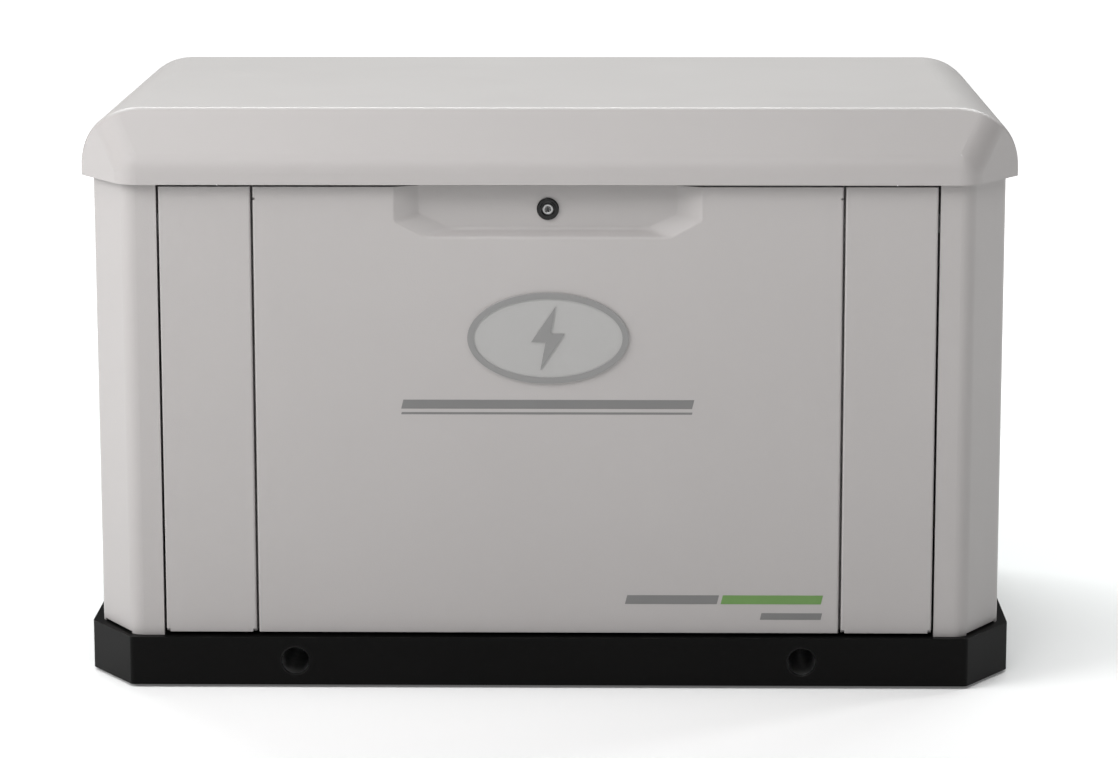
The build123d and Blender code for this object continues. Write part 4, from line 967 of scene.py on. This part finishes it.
CAMERA_PLACE = (0.0898, -5.2092, 1.3237)
CAMERA_YAW = -0.0156
CAMERA_PITCH = 0.186
CAMERA_ROLL = -0.0011
CAMERA_LENS = 121.46
CAMERA_SENSOR = 36.0
CAMERA_FAR = 200.0
WORLD_LIGHT = 0.12
FLOOR_HALF = 30.0
BACKDROP_FROM = 1.6
BACKDROP_FULL = 4.0


def make_camera():
    data = bpy.data.cameras.new("camera")
    data.lens = CAMERA_LENS
    data.sensor_width = CAMERA_SENSOR
    data.clip_end = CAMERA_FAR
    camera = bpy.data.objects.new("camera", data)
    bpy.context.scene.collection.objects.link(camera)
    level = Matrix.Rotation(math.pi / 2 - CAMERA_PITCH, 4, "X")
    turned = Matrix.Rotation(-CAMERA_YAW, 4, "Z") @ level @ Matrix.Rotation(CAMERA_ROLL, 4, "Z")
    camera.matrix_world = Matrix.Translation(CAMERA_PLACE) @ turned
    bpy.context.scene.camera = camera


def aim(lamp, place, target):
    lamp.location = place
    lamp.rotation_euler = (Vector(target) - Vector(place)).to_track_quat("-Z", "Y").to_euler()


def softbox(name, place, target, width, depth, power, colour=(1.0, 1.0, 1.0), mirrored=True):
    """Area light. With mirrored off it lights the object but isn't seen in glossy surfaces."""
    data = bpy.data.lights.new(name, "AREA")
    data.shape = "RECTANGLE"
    data.size = width
    data.size_y = depth
    data.energy = power
    data.color = colour
    lamp = bpy.data.objects.new(name, data)
    lamp.visible_camera = False
    lamp.visible_glossy = mirrored
    bpy.context.scene.collection.objects.link(lamp)
    aim(lamp, place, target)


def make_light():
    world = bpy.data.worlds.new("studio")
    world.use_nodes = True
    background = world.node_tree.nodes["Background"]
    background.inputs["Color"].default_value = (1.0, 1.0, 1.0, 1.0)
    background.inputs["Strength"].default_value = WORLD_LIGHT
    bpy.context.scene.world = world
    softbox("key", (-3.9, -1.7, 2.7), (-0.3, -0.2, 0.4), 3.2, 2.6, 150.0, mirrored=False)
    softbox("top_front", (-0.7, -1.7, 2.8), (0.0, -0.3, 0.4), 3.6, 2.0, 64.0)
    softbox("top_rear", (0.0, 1.6, 3.2), (0.0, 0.0, 0.7), 4.0, 0.5, 122.0, (0.955, 1.0, 0.99))
    softbox("rim_right", (3.0, 1.3, 2.6), (0.6, -0.35, 0.7), 0.5, 1.8, 30.0)
    softbox("front_fill", (-1.2, -4.6, 2.4), (0.0, -0.3, 0.35), 1.2, 1.0, 10.0)


def make_floor():
    """Pale floor that turns into an evenly lit backdrop away from the object."""
    mesh = bpy.data.meshes.new("floor")
    corners = [(x * FLOOR_HALF, y * FLOOR_HALF, 0) for x, y in ((-1, -1), (1, -1), (1, 1), (-1, 1))]
    mesh.from_pydata(corners, [], [(0, 1, 2, 3)])
    floor = bpy.data.objects.new("floor", mesh)
    bpy.context.scene.collection.objects.link(floor)
    n = Nodes("studio_floor")
    away = n.add("ShaderNodeVectorMath", operation="LENGTH")
    n.link(n.place, away.inputs[0])
    glow = n.range(away.outputs["Value"], BACKDROP_FROM, BACKDROP_FULL, 0.12, 1.0)
    n.put(n.shader.inputs["Emission Strength"], glow)
    n.put(n.shader.inputs["Emission Color"], grey(1.0))
    mesh.materials.append(n.finish(n.mix(n.noise(2.0), grey(0.8), grey(0.81)), 0.9))


paint_nodes()
make_stripes()
make_lock_details()
make_wall_screws()
make_hinge_screws()
make_outlet_guard()
make_base_hardware()
make_lining()
make_roof_hardware()
make_engine_bolts()
make_cover_ribs()
make_oil_cap()
make_air_cleaner_clips()
make_blower_details()
make_alternator_details()
make_hose_clamps()
make_hose_and_cables()
make_battery_details()
make_muffler_details()
make_display()
make_button_marks()
make_box_screws()
make_camera()
make_light()
make_floor()
bpy.context.scene.view_settings.view_transform = "Standard"
